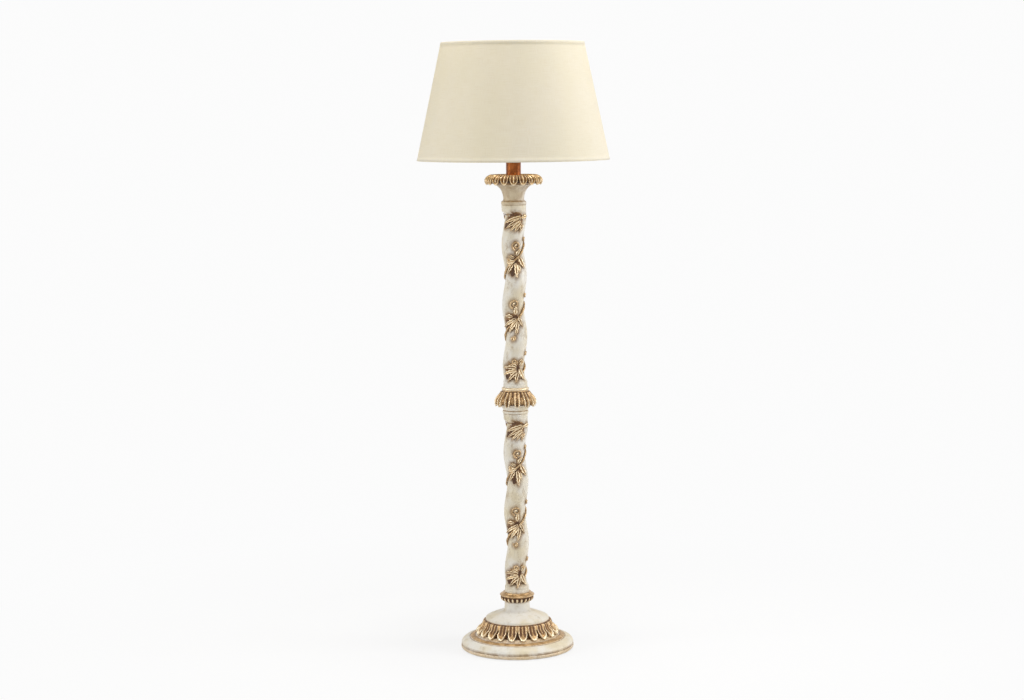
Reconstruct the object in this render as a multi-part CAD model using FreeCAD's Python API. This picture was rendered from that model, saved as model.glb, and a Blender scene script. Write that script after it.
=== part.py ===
import FreeCAD, Part
import math
import os

# A candlestick floor lamp: a turned and carved wooden stand in antique ivory and gold, clamped
# together by a hollow tie rod, with a candle tube, a lampholder, a bulb and a tapered shade.
# Millimetres and degrees. Origin: centre of the base on the floor. +Z up, front towards -Y.

V = FreeCAD.Vector

# ------------------------------------------------------------------ fits and clearances
ROD_CLEARANCE = 0.5        # every bore that the tie rod passes through, on the radius
POCKET_CLEARANCE = 1.0     # round the ballast in the plinth, on the radius
SLIP_FIT = 0.3             # pieces that drop into or over each other, on the radius
TURNING_GAP = 0.5          # pieces that turn about the lampholder, on the radius
BAR_GAP = 0.2              # round the push bar in its slots, on each side
LEAF_LIFT = 0.35           # underside of an applied leaf above the true shaft surface
STEM_LIFT = 1.0            # underside of the vine stem above the true shaft surface

# ------------------------------------------------------------------ how finely round forms are cut
TURNED_SIDES = 40
SHADE_SIDES = 56
TUBE_SIDES = 32
BORE_SIDES = 12
ARC_STEPS = 4              # straight stretches along an arc of an outline
FLATNESS = 1e-8            # a four-sided facet further out of plane is made of two triangles
FRONT = -90.0              # direction of the front, as an angle round +Z

# ------------------------------------------------------------------ tie rod and its fastenings
ROD_R = 5.0
ROD_BORE_R = 3.6
ROD_FOOT_CLEARANCE = 6.0   # from the felt to the rod's lower end, for the cord
NUT_ACROSS_CORNERS = 19.0
NUT_HEIGHT = 6.0
PLATE_SIDE = 25.0          # square plate washers, small enough for the candle tube
PLATE_THICKNESS = 2.0

# ------------------------------------------------------------------ base
FELT_THICKNESS = 2.0
FELT_R = 141.0
PLINTH_FOOT_R = 149.0
PLINTH_BEAD_R = 151.5
PLINTH_BEAD_HEIGHT = 10.0  # all plinth heights are above its underside
PLINTH_TORUS_FOOT_R = 149.5
PLINTH_TORUS_FOOT_HEIGHT = 12.5
PLINTH_TORUS_MIDDLE = (144.5, 24.0)
PLINTH_TORUS_TOP = (128.5, 30.0)
PLINTH_LINE_CREST = (126.5, 31.8)   # the gilded fillet between torus and slope
PLINTH_LINE_INNER = (113.5, 35.0)
PLINTH_SEAT_R = 104.0
PLINTH_HEIGHT = 42.0
BALLAST_R = 110.0
BALLAST_THICKNESS = 14.0
BALLAST_HEIGHT = 14.0      # its underside above the plinth's
GLAND_HEIGHT = 9.0         # cord hole axis above the plinth's underside
GLAND_BORE_R = 3.5
GLAND_WALL = 1.5
GLAND_HEAD_R = 6.5
GLAND_HEAD_THICKNESS = 3.0
GLAND_RECESS = 2.0         # how far the head's seat lies inside the plinth's foot
GLAND_SLEEVE_R = GLAND_BORE_R + GLAND_WALL
GLAND_SEAT_Y = PLINTH_FOOT_R - GLAND_RECESS

# Carved outlines: height above the piece's underside, then radii at a gap, a side and a crest.
LEAF_COUNT = 22            # carved tongues round the base, with a gap at the front
LEAF_HEIGHT = 35.0
LEAF_OUTLINE = [
    (0.0, 98.0, 105.0, 109.5),
    (7.0, 97.5, 108.5, 110.5),
    (20.0, 91.5, 99.0, 97.0),
    (LEAF_HEIGHT, 86.0, 90.0, 88.5),
]
DOME_FOOT_R = 84.5
DOME_EDGE_R = 82.5
DOME_EDGE_HEIGHT = 7.0
DOME_HEIGHT = 50.0
DOME_SHOULDER = (48.0, 20.5)
DOME_FILLET_MIDDLE = (37.8, 24.4)
NECK_R = 33.7
NECK_FOOT_HEIGHT = 31.5

COLLAR_HEIGHT = 24.0
COLLAR_BEAD_COUNT = 22     # with a bead at the front
COLLAR_OUTLINE = [         # height, then radii at a bead and at the gap beside it
    (0.0, 35.5, 34.0),
    (5.5, 42.5, 38.0),
    (13.0, 46.7, 43.7),
    (17.0, 45.9, 45.9),
    (COLLAR_HEIGHT, 37.5, 37.5),
]

# ------------------------------------------------------------------ twisted shafts and their vine
SHAFT_LENGTH = 484.0
SHAFT_R = 28.5             # the round section that winds about the lamp's axis
SHAFT_OFFSET = 4.5         # how far the section's centre lies off that axis
SHAFT_END_R = 32.4         # plain turned collars at both ends
SHAFT_END_LENGTH = 13.0
SHAFT_BLEND = 13.0         # from a plain collar to the twist
TWIST_TURNS = 3.0          # of the winding, over the whole shaft
TWIST_PITCH = SHAFT_LENGTH / TWIST_TURNS
FOOT_SPRAY_Z = 0.103 * SHAFT_LENGTH     # the middles of the four leaf sprays at the front
LOWER_SPRAY_Z = 0.38 * SHAFT_LENGTH
UPPER_SPRAY_Z = 0.7 * SHAFT_LENGTH
TOP_SPRAY_Z = 0.92 * SHAFT_LENGTH
TWIST_FRONT = UPPER_SPRAY_Z    # height at which the valley crosses the front
SHAFT_SIDES = 16
SHAFT_STEPS = 23           # sections of the twist
STEM_WIDTH = 5.5
STEM_HEIGHT = 4.0
STEM_STEP_ANGLE = 22.5     # the vine stem is straight over this much of a turn
STEM_RUNS = [              # foot and head of each stretch of stem, between the sprays
    (FOOT_SPRAY_Z + 14.0, LOWER_SPRAY_Z - 38.0),
    (LOWER_SPRAY_Z + 19.0, UPPER_SPRAY_Z - 25.0),
    (UPPER_SPRAY_Z + 27.0, SHAFT_LENGTH - 20.0),
]
LEAF_RIDGE = 3.6           # height of a carved leaf's midrib
LEAF_CURL = 2.0            # how far its tip stands off
LEAF_STATIONS = [          # shares of a leaf's length, width, ridge height and curl
    (0.0, 0.2, 0.55, 0.0),
    (0.35, 0.5, 1.0, 0.0),
    (0.7, 0.4, 0.8, 0.3),
    (1.0, 0.05, 0.2, 1.0),
]
LEAF_LONGEST_STRETCH = 0.35   # the widest step between those stations
# Carved leaves: height above the spray's middle and distance to the right of the front line at
# the root, direction (clockwise from up, seen from outside), length, width.
TOP_SPRAY = [
    (10.0, 33.0, 250.0, 22.0, 7.0),
    (8.0, 9.0, 252.0, 44.0, 7.5),
    (0.0, 10.0, 238.0, 34.0, 7.5),
    (-9.0, 10.0, 222.0, 26.0, 7.5),
    (-15.0, 20.0, 212.0, 17.0, 6.0),
]
UPPER_SPRAY = [
    (13.0, 8.0, 20.0, 22.0, 6.5),
    (7.0, 1.0, 300.0, 14.0, 6.5),
    (6.0, 15.0, 165.0, 27.0, 9.0),
    (-2.0, 0.0, 262.0, 21.0, 8.0),
    (-7.0, 3.0, 186.0, 40.0, 7.5),
    (-9.0, -5.0, 222.0, 30.0, 6.5),
]
LOWER_SPRAY = [
    (12.0, 3.0, 25.0, 24.0, 7.0),
    (6.0, -4.0, 285.0, 18.0, 7.5),
    (-2.0, -3.0, 245.0, 34.0, 7.0),
    (-6.0, 2.0, 222.0, 32.0, 6.5),
    (-8.0, 7.5, 200.0, 34.0, 6.5),
    (4.0, 11.0, 160.0, 26.0, 6.5),
]
FOOT_SPRAY = [
    (10.0, 17.0, 20.0, 15.0, 7.0),
    (8.0, 7.0, 320.0, 15.0, 7.0),
    (2.0, 5.0, 285.0, 32.0, 7.5),
    (-3.0, 4.0, 257.0, 34.0, 7.5),
    (-7.0, 6.0, 229.0, 32.0, 7.0),
    (-9.0, 10.0, 203.0, 24.0, 7.0),
    (0.0, 16.0, 165.0, 27.0, 9.0),
]
BACK_SPRAY = [                # beside the stem behind, half a turn from the front
    (8.0, -9.0, 330.0, 22.0, 7.0),
    (-2.0, 8.0, 150.0, 26.0, 7.5),
    (-16.0, -7.0, 172.0, 20.0, 6.0),
]
BACK_SPRAY_TURNS = [-1.5, -0.5, 0.5]   # turns of the winding from its crossing of the front
FRONT_SPRAYS = [
    (FOOT_SPRAY_Z, FOOT_SPRAY),
    (LOWER_SPRAY_Z, LOWER_SPRAY),
    (UPPER_SPRAY_Z, UPPER_SPRAY),
    (TOP_SPRAY_Z, TOP_SPRAY),
]

# ------------------------------------------------------------------ knop
KNOP_CUP_HEIGHT = 25.0
KNOP_RING_FOOT_R = 31.9
KNOP_RING_R = 34.4
KNOP_RING_HEIGHT = 9.0
KNOP_CUP_FOOT_R = 32.3
KNOP_CUP_MIDDLE = (36.8, 16.0)
KNOP_CUP_TOP_R = 46.0
KNOP_HEIGHT = 45.0
KNOP_LEAF_COUNT = 12
KNOP_PHASE = 5.0           # how far the front leaf's middle lies to the right of the front
KNOP_OUTLINE = [
    (0.0, 45.0, 50.4, 51.9),
    (6.0, 47.5, 55.4, 53.9),
    (16.0, 46.0, 52.4, 50.4),
    (28.0, 40.0, 45.5, 43.5),
    (38.0, 34.5, 36.5, 35.0),
    (41.5, 36.4, 36.4, 36.4),
    (KNOP_HEIGHT, 33.8, 33.8, 33.8),
]

# ------------------------------------------------------------------ capital, drip pan, candle tube
CAPITAL_HEIGHT = 54.0
CAPITAL_RING_FOOT_R = 31.0
CAPITAL_RING_R = 33.0
CAPITAL_RING_HEIGHT = 11.0
CAPITAL_WAIST_R = 28.0
CAPITAL_WAIST_HEIGHT = 13.0
CAPITAL_TOP_R = 47.5
CAPITAL_LIP = 2.5
CAPITAL_BELL = (31.7, 35.0)   # middle of the bell's hollow curve
PAN_HEIGHT = 26.0
PAN_LOBE_COUNT = 18        # with a lobe's middle at the front
PAN_DISH_DEPTH = 4.0
PAN_OUTLINE = [
    (0.0, 66.0, 71.0, 74.0),
    (4.0, 69.0, 76.0, 77.0),
    (13.0, 69.0, 75.0, 73.5),
    (21.0, 64.5, 69.0, 68.0),
    (PAN_HEIGHT, 59.0, 60.5, 60.0),
    (PAN_HEIGHT - PAN_DISH_DEPTH, 50.0, 50.0, 50.0),
]
TUBE_R = 19.6
TUBE_WALL = 1.2
TUBE_LENGTH = 62.0
TUBE_SEAT_DEPTH = 3.0

# ------------------------------------------------------------------ lampholder and bulb
HOLDER_SIDES = 16
HOLDER_R = 18.8
HOLDER_WALL = 1.6
CAP_HEIGHT = 20.0
CAP_FLOOR = 5.0
CAP_SPIGOT = 6.0           # reaches down into the candle tube
SKIRT_HEIGHT = 40.0
SKIRT_FLANGE_R = 23.5
SKIRT_FLANGE_THICKNESS = 3.0
BARREL_R = 19.8
SOCKET_R = 14.2            # clear bore for the bulb's cap
INSERT_R = 13.0
INSERT_HEIGHT = 12.0
CONTACT_WIDTH = 5.0
CONTACT_LENGTH = 12.0
CONTACT_THICKNESS = 1.0
BAR_WIDTH = 5.0
BAR_HEIGHT = 4.0
BAR_LENGTH = 48.0
BAR_START = -3.5           # its middle at rest, before it is pushed through
RING_HEIGHT = 8.0
RING_R = 25.5
RING_SIDES = 24
BULB_SIDES = 24
BULB_R = 30.0
BULB_NECK_R = 13.6
BULB_WALL = 1.0
BULB_CAP_R = 13.2
BULB_CAP_LENGTH = 24.0
BULB_CAP_TIP_R = 5.0
BULB_CAP_TIP_LENGTH = 3.0
BULB_LENGTH = 82.0         # the glass, above its cap
BULB_NECK = [(8.3, 14.4), (23.4, 20.4)]   # height above the cap and radius, below the sphere
BULB_LATITUDES = [-20.0, 10.0, 35.0, 58.0, 78.0]   # where the sphere is cut into facets
BULB_CONTACT_GAP = 0.3     # between its tip and the socket's centre contact

# ------------------------------------------------------------------ shade
SHADE_DROP = 40.0          # from the fitter ring down to the bottom wire
SHADE_HEIGHT = 307.0
SHADE_BOTTOM_R = 254.0
SHADE_TOP_R = 188.0
SHADE_SKIN = 0.9
WIRE = 4.0
HEM = 1.5                  # cover's edge beyond the wire
WIRE_GAP = 0.3
FITTER_R = 27.0
FITTER_THICKNESS = 2.0
ARM_COUNT = 3
ARM_WIDTH = 4.0
ARM_THICKNESS = 4.0
ARM_FIRST_ANGLE = 90.0

# ------------------------------------------------------------------ levels of the stack
PLINTH_Z = FELT_THICKNESS
LEAF_Z = PLINTH_Z + PLINTH_HEIGHT
DOME_Z = LEAF_Z + LEAF_HEIGHT
COLLAR_Z = DOME_Z + DOME_HEIGHT
LOWER_SHAFT_Z = COLLAR_Z + COLLAR_HEIGHT
KNOP_CUP_Z = LOWER_SHAFT_Z + SHAFT_LENGTH
KNOP_Z = KNOP_CUP_Z + KNOP_CUP_HEIGHT
UPPER_SHAFT_Z = KNOP_Z + KNOP_HEIGHT
CAPITAL_Z = UPPER_SHAFT_Z + SHAFT_LENGTH
PAN_Z = CAPITAL_Z + CAPITAL_HEIGHT
PAN_FLOOR_Z = PAN_Z + PAN_HEIGHT - PAN_DISH_DEPTH
TUBE_Z = PAN_FLOOR_Z - TUBE_SEAT_DEPTH
CAP_Z = TUBE_Z + TUBE_LENGTH
SKIRT_Z = CAP_Z + CAP_HEIGHT
FITTER_Z = SKIRT_Z + SKIRT_FLANGE_THICKNESS
RING_Z = FITTER_Z + FITTER_THICKNESS
BALLAST_Z = PLINTH_Z + BALLAST_HEIGHT
ROD_Z = FELT_THICKNESS + ROD_FOOT_CLEARANCE


# ------------------------------------------------------------------ general shapes
def polar(radius, angle, z):
    turn = math.radians(angle)
    return V(radius * math.cos(turn), radius * math.sin(turn), z)


def level(radii, count, z, first_angle=0.0, centre=V(0, 0, 0)):
    """A closed flat ring of points; the given radii repeat round it."""
    ring = []
    for i in range(count):
        angle = first_angle + 360.0 * i / count
        ring.append(centre + polar(radii[i % len(radii)], angle, z))
    return ring


def flat_face(corners):
    return Part.Face(Part.makePolygon(corners + corners[:1]))


def facets_between(a, b, c, d):
    """The skin over a four-sided patch: one face where it is flat, two triangles where not."""
    normal = (b - a).cross(c - a)
    off_plane = abs(normal.dot(d - a)) / max(normal.Length, 1e-9)
    if off_plane < FLATNESS:
        return [flat_face([a, b, c, d])]
    return [flat_face([a, b, c]), flat_face([a, c, d])]


def end_facets(ring):
    """The skin over the first or last ring, which may be warped if it has only four points."""
    if len(ring) == 4:
        return facets_between(*ring)
    return [flat_face(ring)]


def faceted_loft(levels):
    """A closed solid of flat facets through rings with the same number of points."""
    faces = end_facets(levels[0]) + end_facets(levels[-1])
    count = len(levels[0])
    for lower, upper in zip(levels, levels[1:]):
        for i in range(count):
            j = (i + 1) % count
            faces += facets_between(lower[i], lower[j], upper[j], upper[i])
    shell = Part.Shell(faces)
    shell.sewShape()
    solid = Part.Solid(shell)
    if solid.Volume < 0:
        solid.reverse()
    return solid


def turned(z, *steps):
    """A solid turned about Z from its outline, lowest corner first.

    A step is the next corner (radius, height above z), or an arc's middle and end.
    """
    outline = [V(steps[0][0], 0, steps[0][1])]
    for step in steps[1:]:
        if isinstance(step[0], tuple):
            middle = V(step[0][0], 0, step[0][1])
            end = V(step[1][0], 0, step[1][1])
            arc = Part.Arc(outline[-1], middle, end).toShape()
            outline += arc.discretize(Number=ARC_STEPS + 1)[1:]
        else:
            outline.append(V(step[0], 0, step[1]))
    return faceted_loft([level([corner.x], TURNED_SIDES, z + corner.z) for corner in outline])


def prism(sides, radius, z, height, first_angle=0.0):
    corners = level([radius], sides, z, first_angle)
    return flat_face(corners).extrude(V(0, 0, height))


def cylinder(radius, z, height):
    return Part.makeCylinder(radius, height, V(0, 0, z))


def carved(outline, count, first_angle):
    """A turned form cut into equal tongues, each with a gap before it, two sides and a crest."""
    levels = []
    for z, gap, side, crest in outline:
        levels.append(level([gap, side, crest, side], 4 * count, z, first_angle))
    return faceted_loft(levels)


def raised(shape, z):
    return shape.translated(V(0, 0, z))


def bored_for_rod(shape, z, height):
    return shape.cut(prism(BORE_SIDES, ROD_R + ROD_CLEARANCE, z, height))


# ------------------------------------------------------------------ base
def make_base_felt():
    return prism(TURNED_SIDES, FELT_R, 0.0, FELT_THICKNESS)


def make_base_plinth():
    body = turned(
        PLINTH_Z,
        (PLINTH_FOOT_R, 0.0),
        (PLINTH_BEAD_R, PLINTH_BEAD_HEIGHT),
        (PLINTH_TORUS_FOOT_R, PLINTH_TORUS_FOOT_HEIGHT),
        (PLINTH_TORUS_MIDDLE, PLINTH_TORUS_TOP),
        PLINTH_LINE_CREST,
        PLINTH_LINE_INNER,
        (PLINTH_SEAT_R, PLINTH_HEIGHT),
    )
    pocket_height = BALLAST_Z + BALLAST_THICKNESS - PLINTH_Z
    body = body.cut(prism(TURNED_SIDES, BALLAST_R + POCKET_CLEARANCE, PLINTH_Z, pocket_height))
    hole = lying_prism(GLAND_SLEEVE_R + SLIP_FIT, 0.0, PLINTH_BEAD_R)
    seat = lying_prism(GLAND_HEAD_R + SLIP_FIT, GLAND_SEAT_Y, PLINTH_BEAD_R)
    return bored_for_rod(body.cut(hole).cut(seat), PLINTH_Z, PLINTH_HEIGHT)


def lying_prism(radius, y, length):
    """A twelve-sided bar along Y on the cord hole's axis."""
    bar = prism(BORE_SIDES, radius, 0.0, length)
    bar.rotate(V(0, 0, 0), V(1, 0, 0), -90)
    return bar.translated(V(0, y, PLINTH_Z + GLAND_HEIGHT))


def make_cord_gland():
    """The bush in the plinth's back that the cord enters by: a sleeve with a wider head."""
    inner_end = BALLAST_R + POCKET_CLEARANCE
    sleeve = lying_prism(GLAND_SLEEVE_R, inner_end, GLAND_SEAT_Y - inner_end)
    head = lying_prism(GLAND_HEAD_R, GLAND_SEAT_Y, GLAND_HEAD_THICKNESS)
    passage = Part.makeCylinder(GLAND_BORE_R, PLINTH_BEAD_R, V(0, 0, PLINTH_Z + GLAND_HEIGHT), V(0, 1, 0))
    return sleeve.fuse(head).cut(passage).removeSplitter()


def make_ballast():
    disc = prism(TURNED_SIDES, BALLAST_R, BALLAST_Z, BALLAST_THICKNESS)
    return bored_for_rod(disc, BALLAST_Z, BALLAST_THICKNESS)


def make_leaf_moulding():
    """Carved tongues that lean in from the plinth's slope to the dome."""
    body = carved(LEAF_OUTLINE, LEAF_COUNT, FRONT)
    return raised(bored_for_rod(body, 0.0, LEAF_HEIGHT), LEAF_Z)


def make_base_dome():
    body = turned(
        DOME_Z,
        (DOME_FOOT_R, 0.0),
        (DOME_EDGE_R, DOME_EDGE_HEIGHT),
        DOME_SHOULDER,
        (DOME_FILLET_MIDDLE, (NECK_R, NECK_FOOT_HEIGHT)),
        (NECK_R, DOME_HEIGHT),
    )
    return bored_for_rod(body, DOME_Z, DOME_HEIGHT)


def make_neck_collar():
    """A gilded collar: a ring of carved beads under a plain sloping fillet."""
    levels = [level([bead, gap], 2 * COLLAR_BEAD_COUNT, z, FRONT) for z, bead, gap in COLLAR_OUTLINE]
    return raised(bored_for_rod(faceted_loft(levels), 0.0, COLLAR_HEIGHT), COLLAR_Z)


# ------------------------------------------------------------------ twisted shafts
def valley_angle(height):
    """Where the winding section's valley faces: it climbs as a right-handed thread."""
    return FRONT + 360.0 * (height - TWIST_FRONT) / TWIST_PITCH


def twist_share(height):
    """0 in the plain collars at the ends, 1 where the shaft winds fully."""
    from_end = min(height, SHAFT_LENGTH - height)
    return min(max((from_end - SHAFT_END_LENGTH) / SHAFT_BLEND, 0.0), 1.0)


def section_centre(height):
    return polar(SHAFT_OFFSET * twist_share(height), valley_angle(height) + 180.0, 0.0)


def section_radius(height):
    return SHAFT_END_R + (SHAFT_R - SHAFT_END_R) * twist_share(height)


def on_shaft(angle, height, lift):
    """A point that stands off the round section's surface by the given lift."""
    return section_centre(height) + polar(section_radius(height) + lift, angle, height)


def make_shaft():
    twist_start = SHAFT_END_LENGTH + SHAFT_BLEND
    twist_length = SHAFT_LENGTH - 2 * twist_start
    heights = [0.0, SHAFT_END_LENGTH]
    for i in range(SHAFT_STEPS):
        heights.append(twist_start + twist_length * i / (SHAFT_STEPS - 1))
    heights += [SHAFT_LENGTH - SHAFT_END_LENGTH, SHAFT_LENGTH]
    levels = []
    for z in heights:
        levels.append(level([section_radius(z)], SHAFT_SIDES, z, 0.0, section_centre(z)))
    return bored_for_rod(faceted_loft(levels), 0.0, SHAFT_LENGTH)


def make_stem(low, high):
    """A stretch of the vine's stem, three-sided, along the valley."""
    steps = max(1, round(360.0 * (high - low) / TWIST_PITCH / STEM_STEP_ANGLE))
    half_angle = math.degrees(STEM_WIDTH / 2 / SHAFT_R)
    rise = TWIST_PITCH / 360.0 * half_angle
    levels = []
    for i in range(steps + 1):
        z = low + (high - low) * i / steps
        facing = valley_angle(z)
        levels.append([
            on_shaft(facing - half_angle, z + rise, STEM_LIFT),
            on_shaft(facing, z, STEM_LIFT + STEM_HEIGHT),
            on_shaft(facing + half_angle, z - rise, STEM_LIFT),
        ])
    return faceted_loft(levels)


def leaf_point(root, bearing, along, sideways, lift):
    """A point on a leaf: so far along it from its root, to its right, and off the skin."""
    across = root[1] + math.sin(bearing) * along + math.cos(bearing) * sideways
    up = root[0] + math.cos(bearing) * along - math.sin(bearing) * sideways
    return on_shaft(FRONT + math.degrees(across / SHAFT_R), up, lift)


def make_leaf(root_height, root_across, direction, length, width):
    """A folded blade that lies along the shaft's skin and lifts at its tip."""
    root = (root_height, root_across)
    bearing = math.radians(direction)
    chord = LEAF_LONGEST_STRETCH * length * math.sin(bearing)
    clear_of_skin = LEAF_LIFT + chord ** 2 / (8 * SHAFT_R)
    levels = []
    for along, half_width, ridge, curl in LEAF_STATIONS:
        base = clear_of_skin + curl * LEAF_CURL
        levels.append([
            leaf_point(root, bearing, along * length, -half_width * width, base),
            leaf_point(root, bearing, along * length, 0.0, base + ridge * LEAF_RIDGE),
            leaf_point(root, bearing, along * length, half_width * width, base),
            leaf_point(root, bearing, along * length, 0.0, base),
        ])
    return faceted_loft(levels)


def make_spray(leaves, middle, across):
    """Leaves about the height of their spray's middle, at a distance round from the front."""
    return [make_leaf(middle + leaf[0], across + leaf[1], *leaf[2:]) for leaf in leaves]


def make_vine():
    """Stem and carved leaves, applied to the shaft in separate pieces."""
    pieces = [make_stem(low, high) for low, high in STEM_RUNS]
    for middle, leaves in FRONT_SPRAYS:
        pieces += make_spray(leaves, middle, 0.0)
    for turns in BACK_SPRAY_TURNS:
        pieces += make_spray(BACK_SPRAY, TWIST_FRONT + turns * TWIST_PITCH, math.pi * SHAFT_R)
    return Part.makeCompound(pieces)


# ------------------------------------------------------------------ knop
def make_knop_cup():
    body = turned(
        KNOP_CUP_Z,
        (KNOP_RING_FOOT_R, 0.0),
        (KNOP_RING_R, KNOP_RING_HEIGHT / 2),
        (KNOP_CUP_FOOT_R, KNOP_RING_HEIGHT),
        (KNOP_CUP_MIDDLE, (KNOP_CUP_TOP_R, KNOP_CUP_HEIGHT)),
    )
    return bored_for_rod(body, KNOP_CUP_Z, KNOP_CUP_HEIGHT)


def make_knop():
    """Gilded leaves, each with two ridges and a groove, that swell out under a plain top bead."""
    body = carved(KNOP_OUTLINE, KNOP_LEAF_COUNT, FRONT + KNOP_PHASE - 180.0 / KNOP_LEAF_COUNT)
    return raised(bored_for_rod(body, 0.0, KNOP_HEIGHT), KNOP_Z)


# ------------------------------------------------------------------ capital and candle
def make_capital():
    body = turned(
        CAPITAL_Z,
        (CAPITAL_RING_FOOT_R, 0.0),
        (CAPITAL_RING_R, CAPITAL_RING_HEIGHT / 2),
        (CAPITAL_WAIST_R, CAPITAL_WAIST_HEIGHT),
        (CAPITAL_BELL, (CAPITAL_TOP_R, CAPITAL_HEIGHT - CAPITAL_LIP)),
        (CAPITAL_TOP_R, CAPITAL_HEIGHT),
    )
    return bored_for_rod(body, CAPITAL_Z, CAPITAL_HEIGHT)


def make_drip_pan():
    """A ruffled gilded pan: lobes that droop over the capital, and a shallow dish on top."""
    pan = raised(carved(PAN_OUTLINE, PAN_LOBE_COUNT, FRONT - 180.0 / PAN_LOBE_COUNT), PAN_Z)
    seat = prism(TUBE_SIDES, TUBE_R + SLIP_FIT, TUBE_Z, PAN_HEIGHT)
    return bored_for_rod(pan.cut(seat), PAN_Z, PAN_HEIGHT)


def make_candle_tube():
    outside = prism(TUBE_SIDES, TUBE_R, TUBE_Z, TUBE_LENGTH)
    return outside.cut(prism(TUBE_SIDES, TUBE_R - TUBE_WALL, TUBE_Z, TUBE_LENGTH))


# ------------------------------------------------------------------ tie rod
def make_tie_rod():
    length = CAP_Z + CAP_FLOOR - ROD_Z
    return cylinder(ROD_R, ROD_Z, length).cut(cylinder(ROD_BORE_R, ROD_Z, length))


def make_rod_nuts():
    nuts = []
    for z in (BALLAST_Z - PLATE_THICKNESS - NUT_HEIGHT, TUBE_Z + PLATE_THICKNESS):
        nut = prism(6, NUT_ACROSS_CORNERS / 2, z, NUT_HEIGHT)
        nuts.append(bored_for_rod(nut, z, NUT_HEIGHT))
    return Part.makeCompound(nuts)


def make_rod_plates():
    plates = []
    for z in (BALLAST_Z - PLATE_THICKNESS, TUBE_Z):
        plate = prism(4, PLATE_SIDE / math.sqrt(2), z, PLATE_THICKNESS, 45.0)
        plates.append(bored_for_rod(plate, z, PLATE_THICKNESS))
    return Part.makeCompound(plates)


# ------------------------------------------------------------------ lampholder
def push_bar_z():
    return CAP_Z + CAP_FLOOR + (CAP_HEIGHT - CAP_FLOOR) / 2


def make_holder_cap():
    """Lower half of the lampholder: it closes the candle tube and screws onto the rod."""
    body = prism(HOLDER_SIDES, HOLDER_R, CAP_Z, CAP_HEIGHT)
    spigot_r = TUBE_R - TUBE_WALL - SLIP_FIT
    body = body.fuse(prism(HOLDER_SIDES, spigot_r, CAP_Z - CAP_SPIGOT, CAP_SPIGOT))
    inside_r = HOLDER_R - HOLDER_WALL
    body = body.cut(prism(HOLDER_SIDES, inside_r, CAP_Z + CAP_FLOOR, CAP_HEIGHT))
    body = bored_for_rod(body, CAP_Z - CAP_SPIGOT, CAP_FLOOR + CAP_SPIGOT)
    slot_y = BAR_WIDTH + 2 * BAR_GAP
    slot_z = BAR_HEIGHT + 2 * BAR_GAP
    corner = V(-2 * HOLDER_R, -slot_y / 2, push_bar_z() - slot_z / 2)
    return body.cut(Part.makeBox(4 * HOLDER_R, slot_y, slot_z, corner))


def make_holder_skirt():
    """Upper half of the lampholder: flange, threaded barrel and the socket inside it."""
    flange = prism(HOLDER_SIDES, SKIRT_FLANGE_R, SKIRT_Z, SKIRT_FLANGE_THICKNESS)
    barrel = prism(HOLDER_SIDES, BARREL_R, FITTER_Z, SKIRT_HEIGHT - SKIRT_FLANGE_THICKNESS)
    socket = prism(HOLDER_SIDES, SOCKET_R + SLIP_FIT, SKIRT_Z, SKIRT_HEIGHT)
    return flange.fuse(barrel).cut(socket).removeSplitter()


def make_holder_insert():
    return prism(HOLDER_SIDES, INSERT_R, SKIRT_Z, INSERT_HEIGHT)


def make_centre_contact():
    corner = V(-CONTACT_LENGTH / 2, -CONTACT_WIDTH / 2, SKIRT_Z + INSERT_HEIGHT)
    return Part.makeBox(CONTACT_LENGTH, CONTACT_WIDTH, CONTACT_THICKNESS, corner)


def make_push_bar():
    corner = V(BAR_START - BAR_LENGTH / 2, -BAR_WIDTH / 2, push_bar_z() - BAR_HEIGHT / 2)
    return Part.makeBox(BAR_LENGTH, BAR_WIDTH, BAR_HEIGHT, corner)


def make_clamp_ring():
    """The ring that screws down the barrel and clamps the shade's fitter on the flange."""
    ring = prism(RING_SIDES, RING_R, RING_Z, RING_HEIGHT)
    return ring.cut(prism(RING_SIDES, BARREL_R + TURNING_GAP, RING_Z, RING_HEIGHT))


def bulb_z():
    return SKIRT_Z + INSERT_HEIGHT + CONTACT_THICKNESS + BULB_CONTACT_GAP


def make_bulb_cap():
    levels = [
        level([BULB_CAP_TIP_R], BULB_SIDES, bulb_z()),
        level([BULB_CAP_R], BULB_SIDES, bulb_z() + BULB_CAP_TIP_LENGTH),
        level([BULB_CAP_R], BULB_SIDES, bulb_z() + BULB_CAP_LENGTH),
    ]
    return faceted_loft(levels)


def bulb_form(inset):
    """A pear, a sphere that runs down into a narrow neck, at a distance inside the glass."""
    centre = BULB_LENGTH - BULB_R
    radius = BULB_R - inset
    outline = [(0.0, BULB_NECK_R - inset)]
    outline += [(height, neck_r - inset) for height, neck_r in BULB_NECK]
    for latitude in BULB_LATITUDES:
        turn = math.radians(latitude)
        outline.append((centre + radius * math.sin(turn), radius * math.cos(turn)))
    foot = bulb_z() + BULB_CAP_LENGTH
    return faceted_loft([level([r], BULB_SIDES, foot + height) for height, r in outline])


def make_bulb_glass():
    return bulb_form(0.0).cut(bulb_form(BULB_WALL))


# ------------------------------------------------------------------ shade
def shade_bottom_z():
    return FITTER_Z - SHADE_DROP


def shade_radius(height):
    """The cover's outside radius at a height above its bottom edge."""
    return SHADE_BOTTOM_R + (SHADE_TOP_R - SHADE_BOTTOM_R) * height / SHADE_HEIGHT


def shade_skin(inset, height, length):
    """A solid tapered drum that lies a given distance inside the cover's outer face."""
    low = shade_radius(height) - inset
    high = shade_radius(height + length) - inset
    z = shade_bottom_z() + height
    return faceted_loft([level([low], SHADE_SIDES, z), level([high], SHADE_SIDES, z + length)])


def make_shade_cover():
    return shade_skin(0.0, 0.0, SHADE_HEIGHT).cut(shade_skin(SHADE_SKIN, 0.0, SHADE_HEIGHT))


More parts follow.
